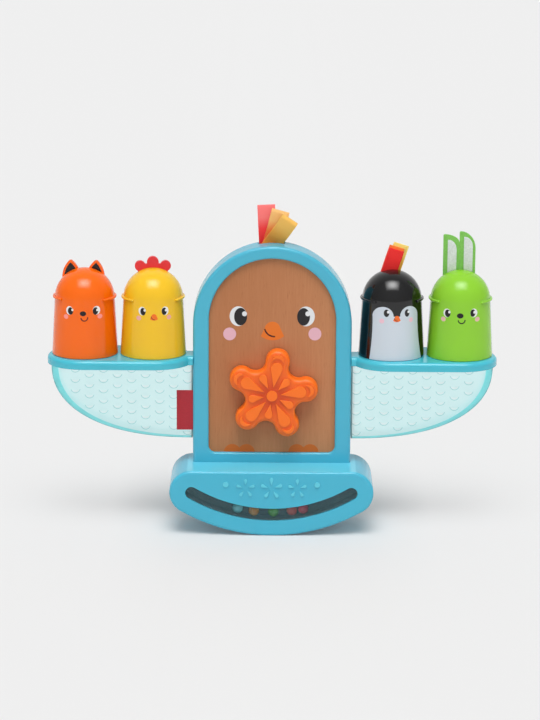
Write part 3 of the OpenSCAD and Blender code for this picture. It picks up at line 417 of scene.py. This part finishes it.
panel_wood, tree, shade = new_finish("lacquered_beech")
x, y, z = places(tree)
bands = grain(tree, 38, (1, 1, 0.06), detail=4)
fibres = grain(tree, 900, (1, 1, 0.06), detail=3)
pores = grain(tree, 1500, (1, 1, 0.09), detail=1)
wood = blend_shades(tree, bands, linear(174, 108, 64), linear(208, 146, 102))
wood = blend_shades(tree, maths(tree, "MULTIPLY", fibres, 0.5), wood, linear(164, 98, 56))
wood = blend_shades(tree, past(tree, pores, 0.62, 2.4), wood, linear(148, 88, 52))
EYE_WHITE, PUPIL, CHEEK, TOE = linear(226, 228, 230), linear(34, 32, 34), linear(228, 178, 190), linear(200, 100, 30)
PANEL_FRONT = -7.5
ink = wood
for mark, colour in ((oval(tree, x, z, (-24.9, 157.9), 6.35, 7.4), EYE_WHITE),
                     (oval(tree, x, z, (24.5, 158.0), 6.4, 7.4), EYE_WHITE),
                     (oval(tree, x, z, (-23.25, 157.6), 4.75, 6.55), PUPIL),
                     (oval(tree, x, z, (22.7, 157.7), 4.7, 6.55), PUPIL),
                     (oval(tree, x, z, (-20.4, 159.7), 1.8, 1.85), EYE_WHITE),
                     (oval(tree, x, z, (25.8, 160.0), 1.8, 1.85), EYE_WHITE),
                     (oval(tree, x, z, (-31.2, 144.6), 4.7, 4.8), CHEEK),
                     (oval(tree, x, z, (31.1, 144.9), 4.7, 4.8), CHEEK),
                     (beak(tree, x, z, (0.1, 147.0), 1.0), linear(228, 118, 36)),
                     (smile(tree, x, z, (1.6, 150.1), 7.34, 233, 36, 1.15), linear(70, 22, 14)),
                     (oval(tree, x, z, (-29.0, 55.2), 6.2, 6.2), TOE),
                     (oval(tree, x, z, (-18.6, 55.2), 6.2, 6.2), TOE),
                     (oval(tree, x, z, (18.5, 55.4), 6.2, 6.2), TOE),
                     (oval(tree, x, z, (28.4, 55.4), 6.2, 6.2), TOE)):
    ink = blend_shades(tree, mark, ink, colour)
front = before(tree, y, PANEL_FRONT, 10)
tree.links.new(blend_shades(tree, front, wood, ink), shade.inputs["Base Color"])
shade.inputs["Roughness"].default_value = 0.48
shade.inputs["Specular IOR Level"].default_value = 0.35
relief(tree, shade, fibres, 0.00004)
dress("wood_face_panel", panel_wood)

# Flower
# The flower is one solid moulding that is pressed on its steel axle. The axle turns in a white nylon bush in the
# panel, and a push-on ring holds it behind. Its petals, middle dot and crescents are raised.
FLOWER_FACE = (0, -20.5, 100.98)
flower_orange, tree, shade = new_finish("flower_orange")
x, y, z = places(tree, FLOWER_FACE)
# Between the raised parts the orange is painted darker, a painted shade in the recesses, most of all near the middle.
recess_painted_shade = maths(tree, "MULTIPLY", past(tree, y, 0.3, 3), before(tree, y, 2.2, 1.5))
reach = maths(tree, "MULTIPLY", distance(tree, x, z, (0, 0)), 1 / 20)
shade_near_middle = maths(tree, "MAXIMUM", clamped(tree, maths(tree, "SUBTRACT", 1.3, reach)), 0.35)
cloud = blend_shades(tree, grain(tree, 30), linear(255, 112, 12), linear(255, 121, 18))
deep = blend_shades(tree, maths(tree, "MULTIPLY", shade_near_middle, 0.8), cloud, linear(208, 62, 8))
tree.links.new(blend_shades(tree, recess_painted_shade, cloud, deep), shade.inputs["Base Color"])
shade.inputs["Roughness"].default_value = 0.42
shade.inputs["Subsurface Weight"].default_value = 0.08
shade.inputs["Subsurface Radius"].default_value = (0.002, 0.0008, 0.0004)
shade.inputs["Subsurface Scale"].default_value = 1
relief(tree, shade, grain(tree, 1200), MOULD_TEXTURE, 0.5)
dress("spinner_flower", flower_orange, sharp=40)
white_nylon = moulded_plastic("white_nylon", linear(228, 228, 224), roughness=0.4)
for node in ("spinner_bush", "crest_clip", "tuft_clip"):
    dress(node, white_nylon)
dress("axle_retainer", moulded_plastic("retainer_ring", linear(190, 190, 188), roughness=0.35))

# Trays
# Each tray is a thin blue moulding with a deep rounded rim, its tongue locked into the side of the body.
tray_blue = moulded_plastic("tray_blue", linear(70, 188, 208), roughness=0.24, coat=0.25)
for node in ("left_tray", "right_tray"):
    dress(node, tray_blue)

# Wings
# A hollow wing of clear pale-teal plastic hangs under each tray. Feather marks stand up from both faces, and a band
# along the curved lower edge of each face is painted a deeper teal, darkest at the very edge.
WING_FROM, WING_TOP, WING_LONG, WING_DEEP = 58.3, 121.58, 103.4, 55.5
BAND_BOW, RIM_BOW, BOW_POWER = 0.93, 0.984, 2.3
FACE_Y, MARKS_Y = 6.3, 7.7
MARK_ACROSS, MARK_DOWN, MARK_R = 10.3, 7.8, 3.67
FIRST_MARK = (3.6, 3.0)


def wing_plastic(name, side):
    finish, tree, shade = new_finish(name)
    x, y, z = places(tree, (side * WING_FROM, 0, WING_TOP))
    u = maths(tree, "DIVIDE", maths(tree, "MULTIPLY", x, side), WING_LONG)
    w = maths(tree, "DIVIDE", maths(tree, "MULTIPLY", z, -1), WING_DEEP)
    u = maths(tree, "MAXIMUM", u, 0.0)
    w = maths(tree, "MAXIMUM", w, 0.0)
    bow = maths(tree, "ADD", maths(tree, "POWER", u, BOW_POWER), maths(tree, "POWER", w, BOW_POWER))
    start = maths(tree, "SUBTRACT", BAND_BOW, maths(tree, "MULTIPLY", u, 0.041))
    edge = past(tree, bow, start, 100)
    fore = before(tree, y, -FACE_Y, 2)
    back = past(tree, y, FACE_Y, 2)
    edge = maths(tree, "MULTIPLY", edge, maths(tree, "ADD", fore, maths(tree, "MULTIPLY", back, 0.4)))
    pale = blend_shades(tree, grain(tree, 18), linear(237, 254, 255), linear(241, 255, 255))
    across = maths(tree, "SUBTRACT", maths(tree, "MULTIPLY", x, side), FIRST_MARK[0])
    column = maths(tree, "ROUND", maths(tree, "DIVIDE", across, MARK_ACROSS))
    across = maths(tree, "SUBTRACT", across, maths(tree, "MULTIPLY", column, MARK_ACROSS))
    odd = maths(tree, "MODULO", column, 2)
    down = maths(tree, "SUBTRACT", maths(tree, "MULTIPLY", z, -1),
                 maths(tree, "ADD", FIRST_MARK[1], maths(tree, "MULTIPLY", odd, MARK_DOWN / 2)))
    row = maths(tree, "ROUND", maths(tree, "DIVIDE", down, MARK_DOWN))
    down = maths(tree, "SUBTRACT", down, maths(tree, "MULTIPLY", row, MARK_DOWN))
    depth = maths(tree, "SUBTRACT", MARK_R, distance(tree, across, down, (0, 0)))
    raised = maths(tree, "ADD", before(tree, y, -MARKS_Y, 8),
                   maths(tree, "MULTIPLY", past(tree, y, MARKS_Y, 8), 0.3))
    # The raised marks get painted light: a painted highlight, white over their face, and a painted shadow, a darker
    # line along their curved edge.
    lower = before(tree, depth, 0.75, 2.4)
    mark_painted_light_and_shadow = blend_shades(tree, lower, linear(255, 255, 255), linear(150, 200, 203))
    pale = blend_shades(tree, raised, pale, mark_painted_light_and_shadow)
    rim = past(tree, bow, RIM_BOW, 90)
    band = blend_shades(tree, rim, linear(106, 232, 238), linear(40, 150, 160))
    root = before(tree, maths(tree, "MULTIPLY", x, side), 1.1, 3)
    faced = blend_shades(tree, edge, pale, band)
    tree.links.new(blend_shades(tree, root, faced, linear(70, 110, 116)), shade.inputs["Base Color"])
    shade.inputs["Roughness"].default_value = 0.4
    shade.inputs["Transmission Weight"].default_value = 1
    shade.inputs["IOR"].default_value = 1.15
    shade.inputs["Coat Weight"].default_value = 0.25
    shade.inputs["Coat Roughness"].default_value = 0.08
    relief(tree, shade, grain(tree, 900), MOULD_TEXTURE, 0.4)
    return finish


dress("left_wing_shell", wing_plastic("left_wing_clear", -1))
dress("right_wing_shell", wing_plastic("right_wing_clear", 1))

# Side tag
# A narrow label of red satin ribbon, left bare, is sewn flat and its raw edge held in a slit in the body's side.
CLOTH_THICK, CLOTH_CELLS = 0.5, 8
TAG_STEPS = 24


def woven(name, colour, across, sheen, roughness=0.5):
    """Satin ribbon: fine ribs across the ribbon on its own map, and a soft sheen."""
    finish, tree, shade = new_finish(name)
    own = tree.nodes.new("ShaderNodeUVMap")
    own.uv_map = "cloth"
    rib = tree.nodes.new("ShaderNodeTexWave")
    rib.bands_direction = "Y"
    rib.inputs["Scale"].default_value = across
    rib.inputs["Distortion"].default_value = 1.2
    tree.links.new(own.outputs["UV"], rib.inputs["Vector"])
    worn = grain(tree, 900, detail=2, vector=own.outputs["UV"])
    tone = uneven(tree, worn, colour, (0.82, 0.82, 0.82), (1.1, 1.12, 1.12))
    tree.links.new(tone, shade.inputs["Base Color"])
    shade.inputs["Roughness"].default_value = roughness
    shade.inputs["Sheen Weight"].default_value = sheen
    shade.inputs["Sheen Roughness"].default_value = 0.4
    relief(tree, shade, rib.outputs["Fac"], 0.00004)
    return finish, tree, shade, tone


def cloth_strip(name, rows):
    """A strip of cloth from rows of (left, right) points in millimetres; its map is in metres along the cloth."""
    points, faces, long = [], [], [0.0]
    for i, (left, right) in enumerate(rows):
        left, right = Vector(left) * MM, Vector(right) * MM
        if i:
            long.append(long[-1] + ((left + right) / 2 - middle).length)
        middle = (left + right) / 2
        points += [left.lerp(right, j / CLOTH_CELLS) for j in range(CLOTH_CELLS + 1)]
    for i in range(len(rows) - 1):
        for j in range(CLOTH_CELLS):
            a = i * (CLOTH_CELLS + 1) + j
            faces.append((a, a + 1, a + CLOTH_CELLS + 2, a + CLOTH_CELLS + 1))
    mesh = bpy.data.meshes.new(name)
    mesh.from_pydata(points, [], faces)
    piece = bpy.data.objects.new(name, mesh)
    bpy.context.scene.collection.objects.link(piece)
    wide = (points[CLOTH_CELLS] - points[0]).length
    own = mesh.uv_layers.new(name="cloth")
    for loop in mesh.loops:
        i, j = divmod(loop.vertex_index, CLOTH_CELLS + 1)
        own.data[loop.index].uv = (wide * j / CLOTH_CELLS, long[i])
    bpy.ops.object.select_all(action="DESELECT")
    piece.select_set(True)
    bpy.context.view_layer.objects.active = piece
    body = piece.modifiers.new("thickness", "SOLIDIFY")
    body.thickness = CLOTH_THICK * MM
    body.offset = 0
    edge = piece.modifiers.new("soft_edge", "BEVEL")
    edge.width = CLOTH_THICK * MM * 0.3
    edge.segments = 2
    edge.limit_method = "ANGLE"
    for step in ("thickness", "soft_edge"):
        bpy.ops.object.modifier_apply(modifier=step)
    bpy.ops.object.shade_smooth_by_angle(angle=math.radians(50))
    return piece, wide, long[-1]


tag_low, tag_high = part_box("side_tag")
tag_low, tag_high = Vector(tag_low) / MM, Vector(tag_high) / MM
tag_y = (tag_low.y + tag_high.y) / 2
rows = []
for i in range(TAG_STEPS + 1):
    s = i / TAG_STEPS
    z = tag_low.z + (tag_high.z - tag_low.z) * s
    sway = 0.35 * math.sin(math.pi * s) - 0.2
    rows.append(((tag_low.x, tag_y + sway * 0.4, z), (tag_high.x, tag_y, z)))
side_tag, wide, long = cloth_strip("side_tag_ribbon", rows)
side_tag.data.materials.append(woven("tag_red_satin", linear(186, 30, 45), across=1400, sheen=0.2)[0])
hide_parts("side_tag")
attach(side_tag, "toy_body")

# Crest
# Three loops of satin ribbon stand fanned out on the crown, sewn end to end and glued in a clip under the roof slot.
# The light catches the upper half of each loop, so it looks paler there than at its root.
def ribbon_loop(name, root, turn, width, length, bulge, lean, spread, tail, ply=0.3):
    """A folded ribbon on its slot: two plies below the roof, opened by bulge at the top, leaning and spread."""
    a, lay = math.radians(lean), math.radians(spread)
    at = length - bulge
    profile = []
    for i in range(5):
        profile.append((-ply, -tail * (1 - i / 4)))
    for i in range(1, 9):
        s = i / 9
        profile.append((-ply + (ply - bulge) * s - 0.35 * bulge * math.sin(math.pi * s), at * s))
    for i in range(9):
        b = math.pi * (1 - i / 8)
        profile.append((bulge * math.cos(b), at + bulge * math.sin(b)))
    profile += [(-d, v) for d, v in reversed(profile[:13])]
    rows = []
    h = width / 2
    for d, v in profile:
        row = []
        for u in (-h, h):
            w = v
            if v < 0:
                w = v + (u * math.tan(a)) * min(1, -v / tail)
            y = d * math.cos(lay) + max(v, 0) * math.sin(lay) if v > 0 else d
            up = w * math.cos(lay) - d * math.sin(lay) if v > 0 else w
            x = u * math.cos(a) + up * math.sin(a)
            z = up * math.cos(a) - u * math.sin(a)
            c, s = math.cos(turn), math.sin(turn)
            row.append((root[0] + x * c - y * s, root[1] + x * s + y * c, root[2] + z))
        rows.append(row)
    return cloth_strip(name, rows)


def satin_painted_paler_up(name, low, middle, high, long):
    """Satin painted paler from the roots of a loop to its top: a painted highlight where the light catches the loop.
    """
    finish, tree, shade, tone = woven(name, middle, across=1500, sheen=0.25, roughness=0.42)
    own = tree.nodes.new("ShaderNodeUVMap")
    own.uv_map = "cloth"
    split = tree.nodes.new("ShaderNodeSeparateXYZ")
    tree.links.new(own.outputs["UV"], split.inputs["Vector"])
    half = maths(tree, "ABSOLUTE", maths(tree, "SUBTRACT", maths(tree, "DIVIDE", split.outputs[1], long / 2), 1))
    up = maths(tree, "SUBTRACT", 1, half)
    ramp = tree.nodes.new("ShaderNodeValToRGB")
    ramp.color_ramp.elements[0].position = 0.3
    ramp.color_ramp.elements[0].color = low
    ramp.color_ramp.elements[1].position = 0.72
    ramp.color_ramp.elements[1].color = high
    mid = ramp.color_ramp.elements.new(0.5)
    mid.color = middle
    tree.links.new(up, ramp.inputs["Fac"])
    mixed = blend_shades(tree, 0.3, ramp.outputs["Color"], tone)
    tree.links.new(mixed, shade.inputs["Base Color"])
    return finish


ROOF, CREST_Y, ROW = 210.18, 7.45, 1.25
CREST_WIDE, CREST_BULGE, CREST_TAIL, CREST_SPREAD = 13, 2.3, 8.5, 13
for row, name, x, length, lean, low, middle, high, slot in (
        (1, "crest_ribbon_red", -3.7, 26.9, -3, linear(236, 14, 20), linear(255, 48, 48), linear(255, 132, 128),
         "red_ribbon"),
        (0, "crest_ribbon_orange", -0.6, 24.1, 15, linear(255, 86, 26), linear(255, 130, 50), linear(255, 214, 130),
         "orange_ribbon"),
        (-1, "crest_ribbon_yellow", 0.2, 22.7, 34, linear(255, 140, 34), linear(255, 172, 60), linear(255, 204, 100),
         "yellow_ribbon")):
    loop, _, long = ribbon_loop(name + "_satin", (x, CREST_Y + row * ROW, ROOF), 0, CREST_WIDE, length, CREST_BULGE,
                                lean, row * CREST_SPREAD, CREST_TAIL)
    loop.data.materials.append(satin_painted_paler_up(name + "_weave", low, middle, high, long))
    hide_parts(name)
    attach(loop, "toy_body")


# Cups
# Four nesting cups, blow-moulded in glossy plastic, each an open tumbler with a domed end. Finger ribs stand out on
# both sides, and the faces are pad-printed on the front.
TRAY_TOP, CUPS_Y, DOME_TOP = 127.98, 1.6, 63.3
FOOT_R, TAPER = 23.4, 2.3 / 42.7
FOX_AT, CHICK_AT, PENGUIN_AT, BUNNY_AT = -137.5, -87.4, 87.4, 137.5
FOX_TURN, CHICK_TURN, PENGUIN_TURN, BUNNY_TURN = -3, 5, 9, -3.7


def cup_plastic(name, colour, at, turn, marks, roughness=0.22, coat=0.6, ears=None):
    """A cup's plastic with its printed face; marks and ears give (mask, colour) pairs on the cup's own millimetres."""
    finish, tree, shade = new_finish(name)
    x, y, z = places(tree, (at, CUPS_Y, TRAY_TOP), turn)
    plain = uneven(tree, grain(tree, 20, detail=2), colour, (0.96, 0.95, 0.95), (1.03, 1.05, 1.05))
    ink = plain
    for mark, shown in marks(tree, x, z):
        ink = blend_shades(tree, mark, ink, shown)
    wall = maths(tree, "SUBTRACT", distance(tree, x, y, (0, 0)),
                 maths(tree, "SUBTRACT", FOOT_R, maths(tree, "MULTIPLY", z, TAPER)))
    front = maths(tree, "MINIMUM", clamped(tree, maths(tree, "MULTIPLY", wall, 8)),
                  clamped(tree, maths(tree, "MULTIPLY", y, -1)))
    painted = blend_shades(tree, front, plain, ink)
    if ears:
        for mark, shown in ears(tree, x, y, z):
            painted = blend_shades(tree, mark, painted, shown)
    tree.links.new(painted, shade.inputs["Base Color"])
    shade.inputs["Roughness"].default_value = roughness
    shade.inputs["Specular IOR Level"].default_value = 0.1
    shade.inputs["Coat Weight"].default_value = coat
    shade.inputs["Coat Roughness"].default_value = 0.1
    shade.inputs["Subsurface Weight"].default_value = 0.05
    shade.inputs["Subsurface Radius"].default_value = (0.002, 0.001, 0.0006)
    shade.inputs["Subsurface Scale"].default_value = 1
    relief(tree, shade, grain(tree, 500, detail=2), 0.000012, 0.3)
    return finish


WHITE_INK, BLACK_INK = linear(236, 236, 236), linear(16, 12, 14)


def eye(tree, x, z, white, black, wide, light):
    """White oval, pupil and highlight; black is the pupil's place, and light the highlight's."""
    marks = []
    if white:
        marks.append((oval(tree, x, z, white, 2.55, 3.15), WHITE_INK))
    marks.append((oval(tree, x, z, black, wide, 2.75), BLACK_INK))
    marks.append((oval(tree, x, z, light, 0.78, 0.95), WHITE_INK))
    return marks


def fox_face(tree, x, z):
    pink = linear(255, 152, 140)
    return (eye(tree, x, z, (-8.75, 35.7), (-8.0, 35.4), 2.0, (-6.6, 36.3))
            + eye(tree, x, z, (10.75, 35.95), (10.05, 35.5), 1.85, (11.4, 36.2))
            + [(oval(tree, x, z, (1.24, 33.8), 2.3, 1.8), BLACK_INK),
               (smile(tree, x, z, (2.2, 30.85), 2.42, 276, 86, 0.85), linear(92, 12, 4)),
               (oval(tree, x, z, (-11.5, 30.9), 1.7, 1.65), pink),
               (oval(tree, x, z, (13.1, 31.4), 1.6, 1.65), pink)])


EAR_OFF, EARS_X, FUR_FOOT = 8.8, -1.1, 55.3
EAR_FRONT, EAR_BACK = 1.84, 2.1
FUR_R, FUR_MIDDLE = 15.5, 10.4


def fox_ear_fur(tree, x, y, z):
    """The dark inner face of each ear, on the front of the flat ear alone: two arcs that meet in a point."""
    marks = []
    flat = maths(tree, "MINIMUM", past(tree, y, EAR_FRONT, 40), before(tree, y, EAR_BACK, 40))
    for side in (-1, 1):
        lean = math.radians(-3 * side)
        u = maths(tree, "SUBTRACT", x, side * EAR_OFF + EARS_X)
        w = maths(tree, "SUBTRACT", z, FUR_FOOT)
        tu = maths(tree, "ADD", maths(tree, "MULTIPLY", u, math.cos(lean)), maths(tree, "MULTIPLY", w, math.sin(lean)))
        tw = maths(tree, "SUBTRACT", maths(tree, "MULTIPLY", w, math.cos(lean)),
                   maths(tree, "MULTIPLY", u, math.sin(lean)))
        depth = maths(tree, "MINIMUM", *[maths(tree, "SUBTRACT", FUR_R, distance(tree, tu, tw, (middle, 0)))
                                         for middle in (FUR_MIDDLE, -FUR_MIDDLE)])
        marks.append((maths(tree, "MULTIPLY", clamped(tree, inside(tree, depth)), flat), linear(26, 12, 14)))
    return marks


def chick_face(tree, x, z):
    pink = linear(238, 170, 160)
    return (eye(tree, x, z, (-8.95, 35.75), (-8.35, 35.45), 1.9, (-7.15, 36.4))
            + eye(tree, x, z, (7.6, 35.9), (7.0, 35.65), 1.88, (8.25, 36.35))
            + [(beak(tree, x, z, (-0.5, 31.5), 0.345), linear(240, 112, 28)),
               (smile(tree, x, z, (0.1, 32.33), 2.65, 229, 38, 0.5), linear(120, 36, 12)),
               (oval(tree, x, z, (-11.45, 30.5), 1.65, 1.7), pink),
               (oval(tree, x, z, (10.45, 31.1), 1.65, 1.7), pink)])


def penguin_face(tree, x, z):
    pink = linear(236, 192, 206)
    bib = maths(tree, "MAXIMUM", oval(tree, x, z, (-10.1, 33.0), 7.0, 6.9), oval(tree, x, z, (8.8, 33.2), 7.0, 6.95))
    fall = maths(tree, "DIVIDE", maths(tree, "SUBTRACT", 33, z), 32.3)
    fall = maths(tree, "MULTIPLY", fall, fall)
    left = maths(tree, "ADD", x, maths(tree, "ADD", 17.05, maths(tree, "MULTIPLY", fall, 2.1)))
    right = maths(tree, "SUBTRACT", maths(tree, "ADD", 15.8, maths(tree, "MULTIPLY", fall, 3.4)), x)
    belly = maths(tree, "MINIMUM", maths(tree, "MINIMUM", left, right), maths(tree, "SUBTRACT", 33, z))
    return ([(maths(tree, "MAXIMUM", bib, clamped(tree, inside(tree, belly))), linear(204, 213, 222))]
            + eye(tree, x, z, None, (-8.05, 35.4), 1.88, (-6.95, 36.25))
            + eye(tree, x, z, None, (7.1, 35.3), 1.85, (8.2, 36.1))
            + [(beak(tree, x, z, (-0.6, 31.35), 0.33), linear(240, 108, 28)),
               (smile(tree, x, z, (0.0, 32.2), 2.5, 229, 38, 0.45), linear(90, 26, 12)),
               (oval(tree, x, z, (-11.2, 29.5), 1.6, 1.75), pink),
               (oval(tree, x, z, (10.25, 30.05), 1.6, 1.75), pink)])


def bunny_face(tree, x, z):
    pink = linear(228, 182, 172)
    return (eye(tree, x, z, (-9.5, 35.45), (-9.0, 35.25), 2.0, (-7.85, 36.2))
            + eye(tree, x, z, (9.9, 35.8), (9.2, 35.75), 1.8, (10.3, 36.3))
            + [(oval(tree, x, z, (0.07, 33.9), 2.4, 1.9), BLACK_INK),
               (smile(tree, x, z, (1.15, 30.75), 2.45, 273, 84, 0.85), linear(20, 30, 10)),
               (oval(tree, x, z, (-12.1, 30.7), 1.7, 1.75), pink),
               (oval(tree, x, z, (12.5, 31.0), 1.7, 1.75), pink)])


dress("fox_cup", cup_plastic("fox_orange", linear(250, 106, 4), FOX_AT, FOX_TURN, fox_face, ears=fox_ear_fur))
dress("chick_cup", cup_plastic("chick_yellow", linear(242, 192, 36), CHICK_AT, CHICK_TURN, chick_face))
dress("penguin_cup", cup_plastic("penguin_black", linear(8, 8, 10), PENGUIN_AT, PENGUIN_TURN, penguin_face,
                                 roughness=0.2, coat=1))
dress("bunny_cup", cup_plastic("bunny_green", linear(142, 206, 50), BUNNY_AT, BUNNY_TURN, bunny_face))

# Chick's comb
# The comb is a soft red moulding pushed through a slit in the dome and welded inside.
dress("chick_comb", moulded_plastic("comb_red", linear(228, 46, 52), roughness=0.3, coat=0.2))

# Penguin's tuft
# Three short lengths of satin ribbon, each folded over once, stand in a slit in the dome and lean to one side.
TUFT_WIDE, TUFT_BULGE, TUFT_LEAN, TUFT_TAIL, TUFT_Y = 11.6, 0.34, 18.5, 6.5, 2.6
turn = math.radians(PENGUIN_TURN)
for row, name, x, length, colour, pale, slot in (
        (1, "tuft_ribbon_yellow", 0.9, 20, linear(255, 190, 62), linear(255, 232, 130), "yellow_ribbon"),
        (0, "tuft_ribbon_orange", -2, 18.2, linear(255, 110, 30), linear(255, 128, 40), "orange_ribbon"),
        (-1, "tuft_ribbon_red", -2, 16.3, linear(238, 20, 20), linear(250, 30, 26), "red_ribbon")):
    y = TUFT_Y + row * ROW
    root = (PENGUIN_AT + x * math.cos(turn) - y * math.sin(turn), CUPS_Y + x * math.sin(turn) + y * math.cos(turn),
            TRAY_TOP + DOME_TOP - 1)
    fold, _, long = ribbon_loop(name + "_satin", root, turn, TUFT_WIDE, length, TUFT_BULGE, TUFT_LEAN, 0, TUFT_TAIL,
                                ply=0.32)
    # Each tuft ribbon is painted paler toward its fold, a painted highlight where the light catches it.
    fold.data.materials.append(satin_painted_paler_up(name + "_weave", colour, colour, pale, long))
    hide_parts(name)
    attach(fold, "penguin")

# Bunny's ears
# Both ears are cut in one from thick green felt, with a pale felt lining glued on each, and stand in a slit in the
# dome.
def felt(name, colour):
    """Pressed wool felt: matt, mottled, with a fibrous surface."""
    finish, tree, shade = new_finish(name)
    fibres = grain(tree, 900, detail=4)
    mottle = uneven(tree, fibres, colour, (0.72, 0.76, 0.72), (1.25, 1.2, 1.25))
    tree.links.new(mottle, shade.inputs["Base Color"])
    shade.inputs["Roughness"].default_value = 0.95
    shade.inputs["Specular IOR Level"].default_value = 0.15
    shade.inputs["Sheen Weight"].default_value = 0.35
    shade.inputs["Sheen Roughness"].default_value = 0.6
    relief(tree, shade, fibres, 0.00022)
    return finish


def ear_top(x, wide, high, drop):
    """Top of an ear: a straight edge, a tip, and a curve that falls away to the right."""
    tip = 0.06
    points = [(x, high - wide * tip), (x + wide * tip, high)]
    for i in range(1, 9):
        t = math.radians(90 * i / 8)
        points.append((x + wide * (tip + (1 - tip) * math.sin(t)), high - drop * (1 - math.cos(t))))
    return points


def cut_felt(name, outlines, depth, thickness, edge):
    """Flat felt cut to outlines in the bunny's own millimetres, its cut edges slightly rounded."""
    c, s = math.cos(math.radians(BUNNY_TURN)), math.sin(math.radians(BUNNY_TURN))
    mesh = bpy.data.meshes.new(name)
    points, cuts = [], []
    for outline in outlines:
        cuts.append(list(range(len(points), len(points) + len(outline))))
        points += [((BUNNY_AT + x * c - depth * s) * MM, (CUPS_Y + x * s + depth * c) * MM, (TRAY_TOP + z) * MM)
                   for x, z in outline]
    mesh.from_pydata(points, [], cuts)
    piece = bpy.data.objects.new(name, mesh)
    bpy.context.scene.collection.objects.link(piece)
    bpy.ops.object.select_all(action="DESELECT")
    piece.select_set(True)
    bpy.context.view_layer.objects.active = piece
    area = sum(cut.area for cut in mesh.polygons)
    body = piece.modifiers.new("thickness", "SOLIDIFY")
    body.thickness = thickness * MM
    body.offset = 0
    soft = piece.modifiers.new("cut_edge", "BEVEL")
    soft.width = edge * MM
    soft.segments = 3
    soft.limit_method = "ANGLE"
    soft.angle_limit = math.radians(60)
    for step in ("thickness", "cut_edge"):
        bpy.ops.object.modifier_apply(modifier=step)
    bpy.ops.object.mode_set(mode="EDIT")
    bpy.ops.mesh.select_all(action="SELECT")
    bpy.ops.mesh.quads_convert_to_tris()
    bpy.ops.mesh.normals_make_consistent(inside=False)
    bpy.ops.object.mode_set(mode="OBJECT")
    bpy.ops.object.shade_smooth_by_angle(angle=math.radians(40))
    return piece, area


EAR = 11.8
DOME_R, DOME_MIDDLE = 22.13, 21.93
LINING_WIDE, LINING_Y = 6.5, 2.15
left = -1.5 - EAR
green_felt = felt("green_felt", linear(126, 196, 86))
tops = ear_top(0, EAR, 25.8, 6) + ear_top(EAR, EAR, 28.2, 12.5)
outline = [(left, DOME_TOP - 7)] + [(left + x, DOME_TOP + z) for x, z in tops] + [(left + 2 * EAR, DOME_TOP - 7)]
ears, area = cut_felt("bunny_ears_felt", [outline], 3.4, 2.0, 0.35)
ears.data.materials.append(green_felt)
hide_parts("bunny_ears")
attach(ears, "bunny")

pale_felt = felt("pale_felt", linear(218, 226, 220))
linings = []
for x, high in ((left + 3.3, 22.0), (left + 15.1, 24.4)):
    foot = []
    for i in range(7):
        u = x + LINING_WIDE * (1 - i / 6)
        foot.append((u, DOME_TOP - DOME_MIDDLE + math.sqrt(DOME_R ** 2 - u ** 2 - LINING_Y ** 2)))
    linings.append(foot + [(x + u, DOME_TOP + z) for u, z in ear_top(0, LINING_WIDE, high, 7.2)])
lining, area = cut_felt("bunny_ear_linings_felt", linings, LINING_Y, 0.48, 0.12)
lining.data.materials.append(pale_felt)
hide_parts("bunny_ear_linings")
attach(lining, "bunny")
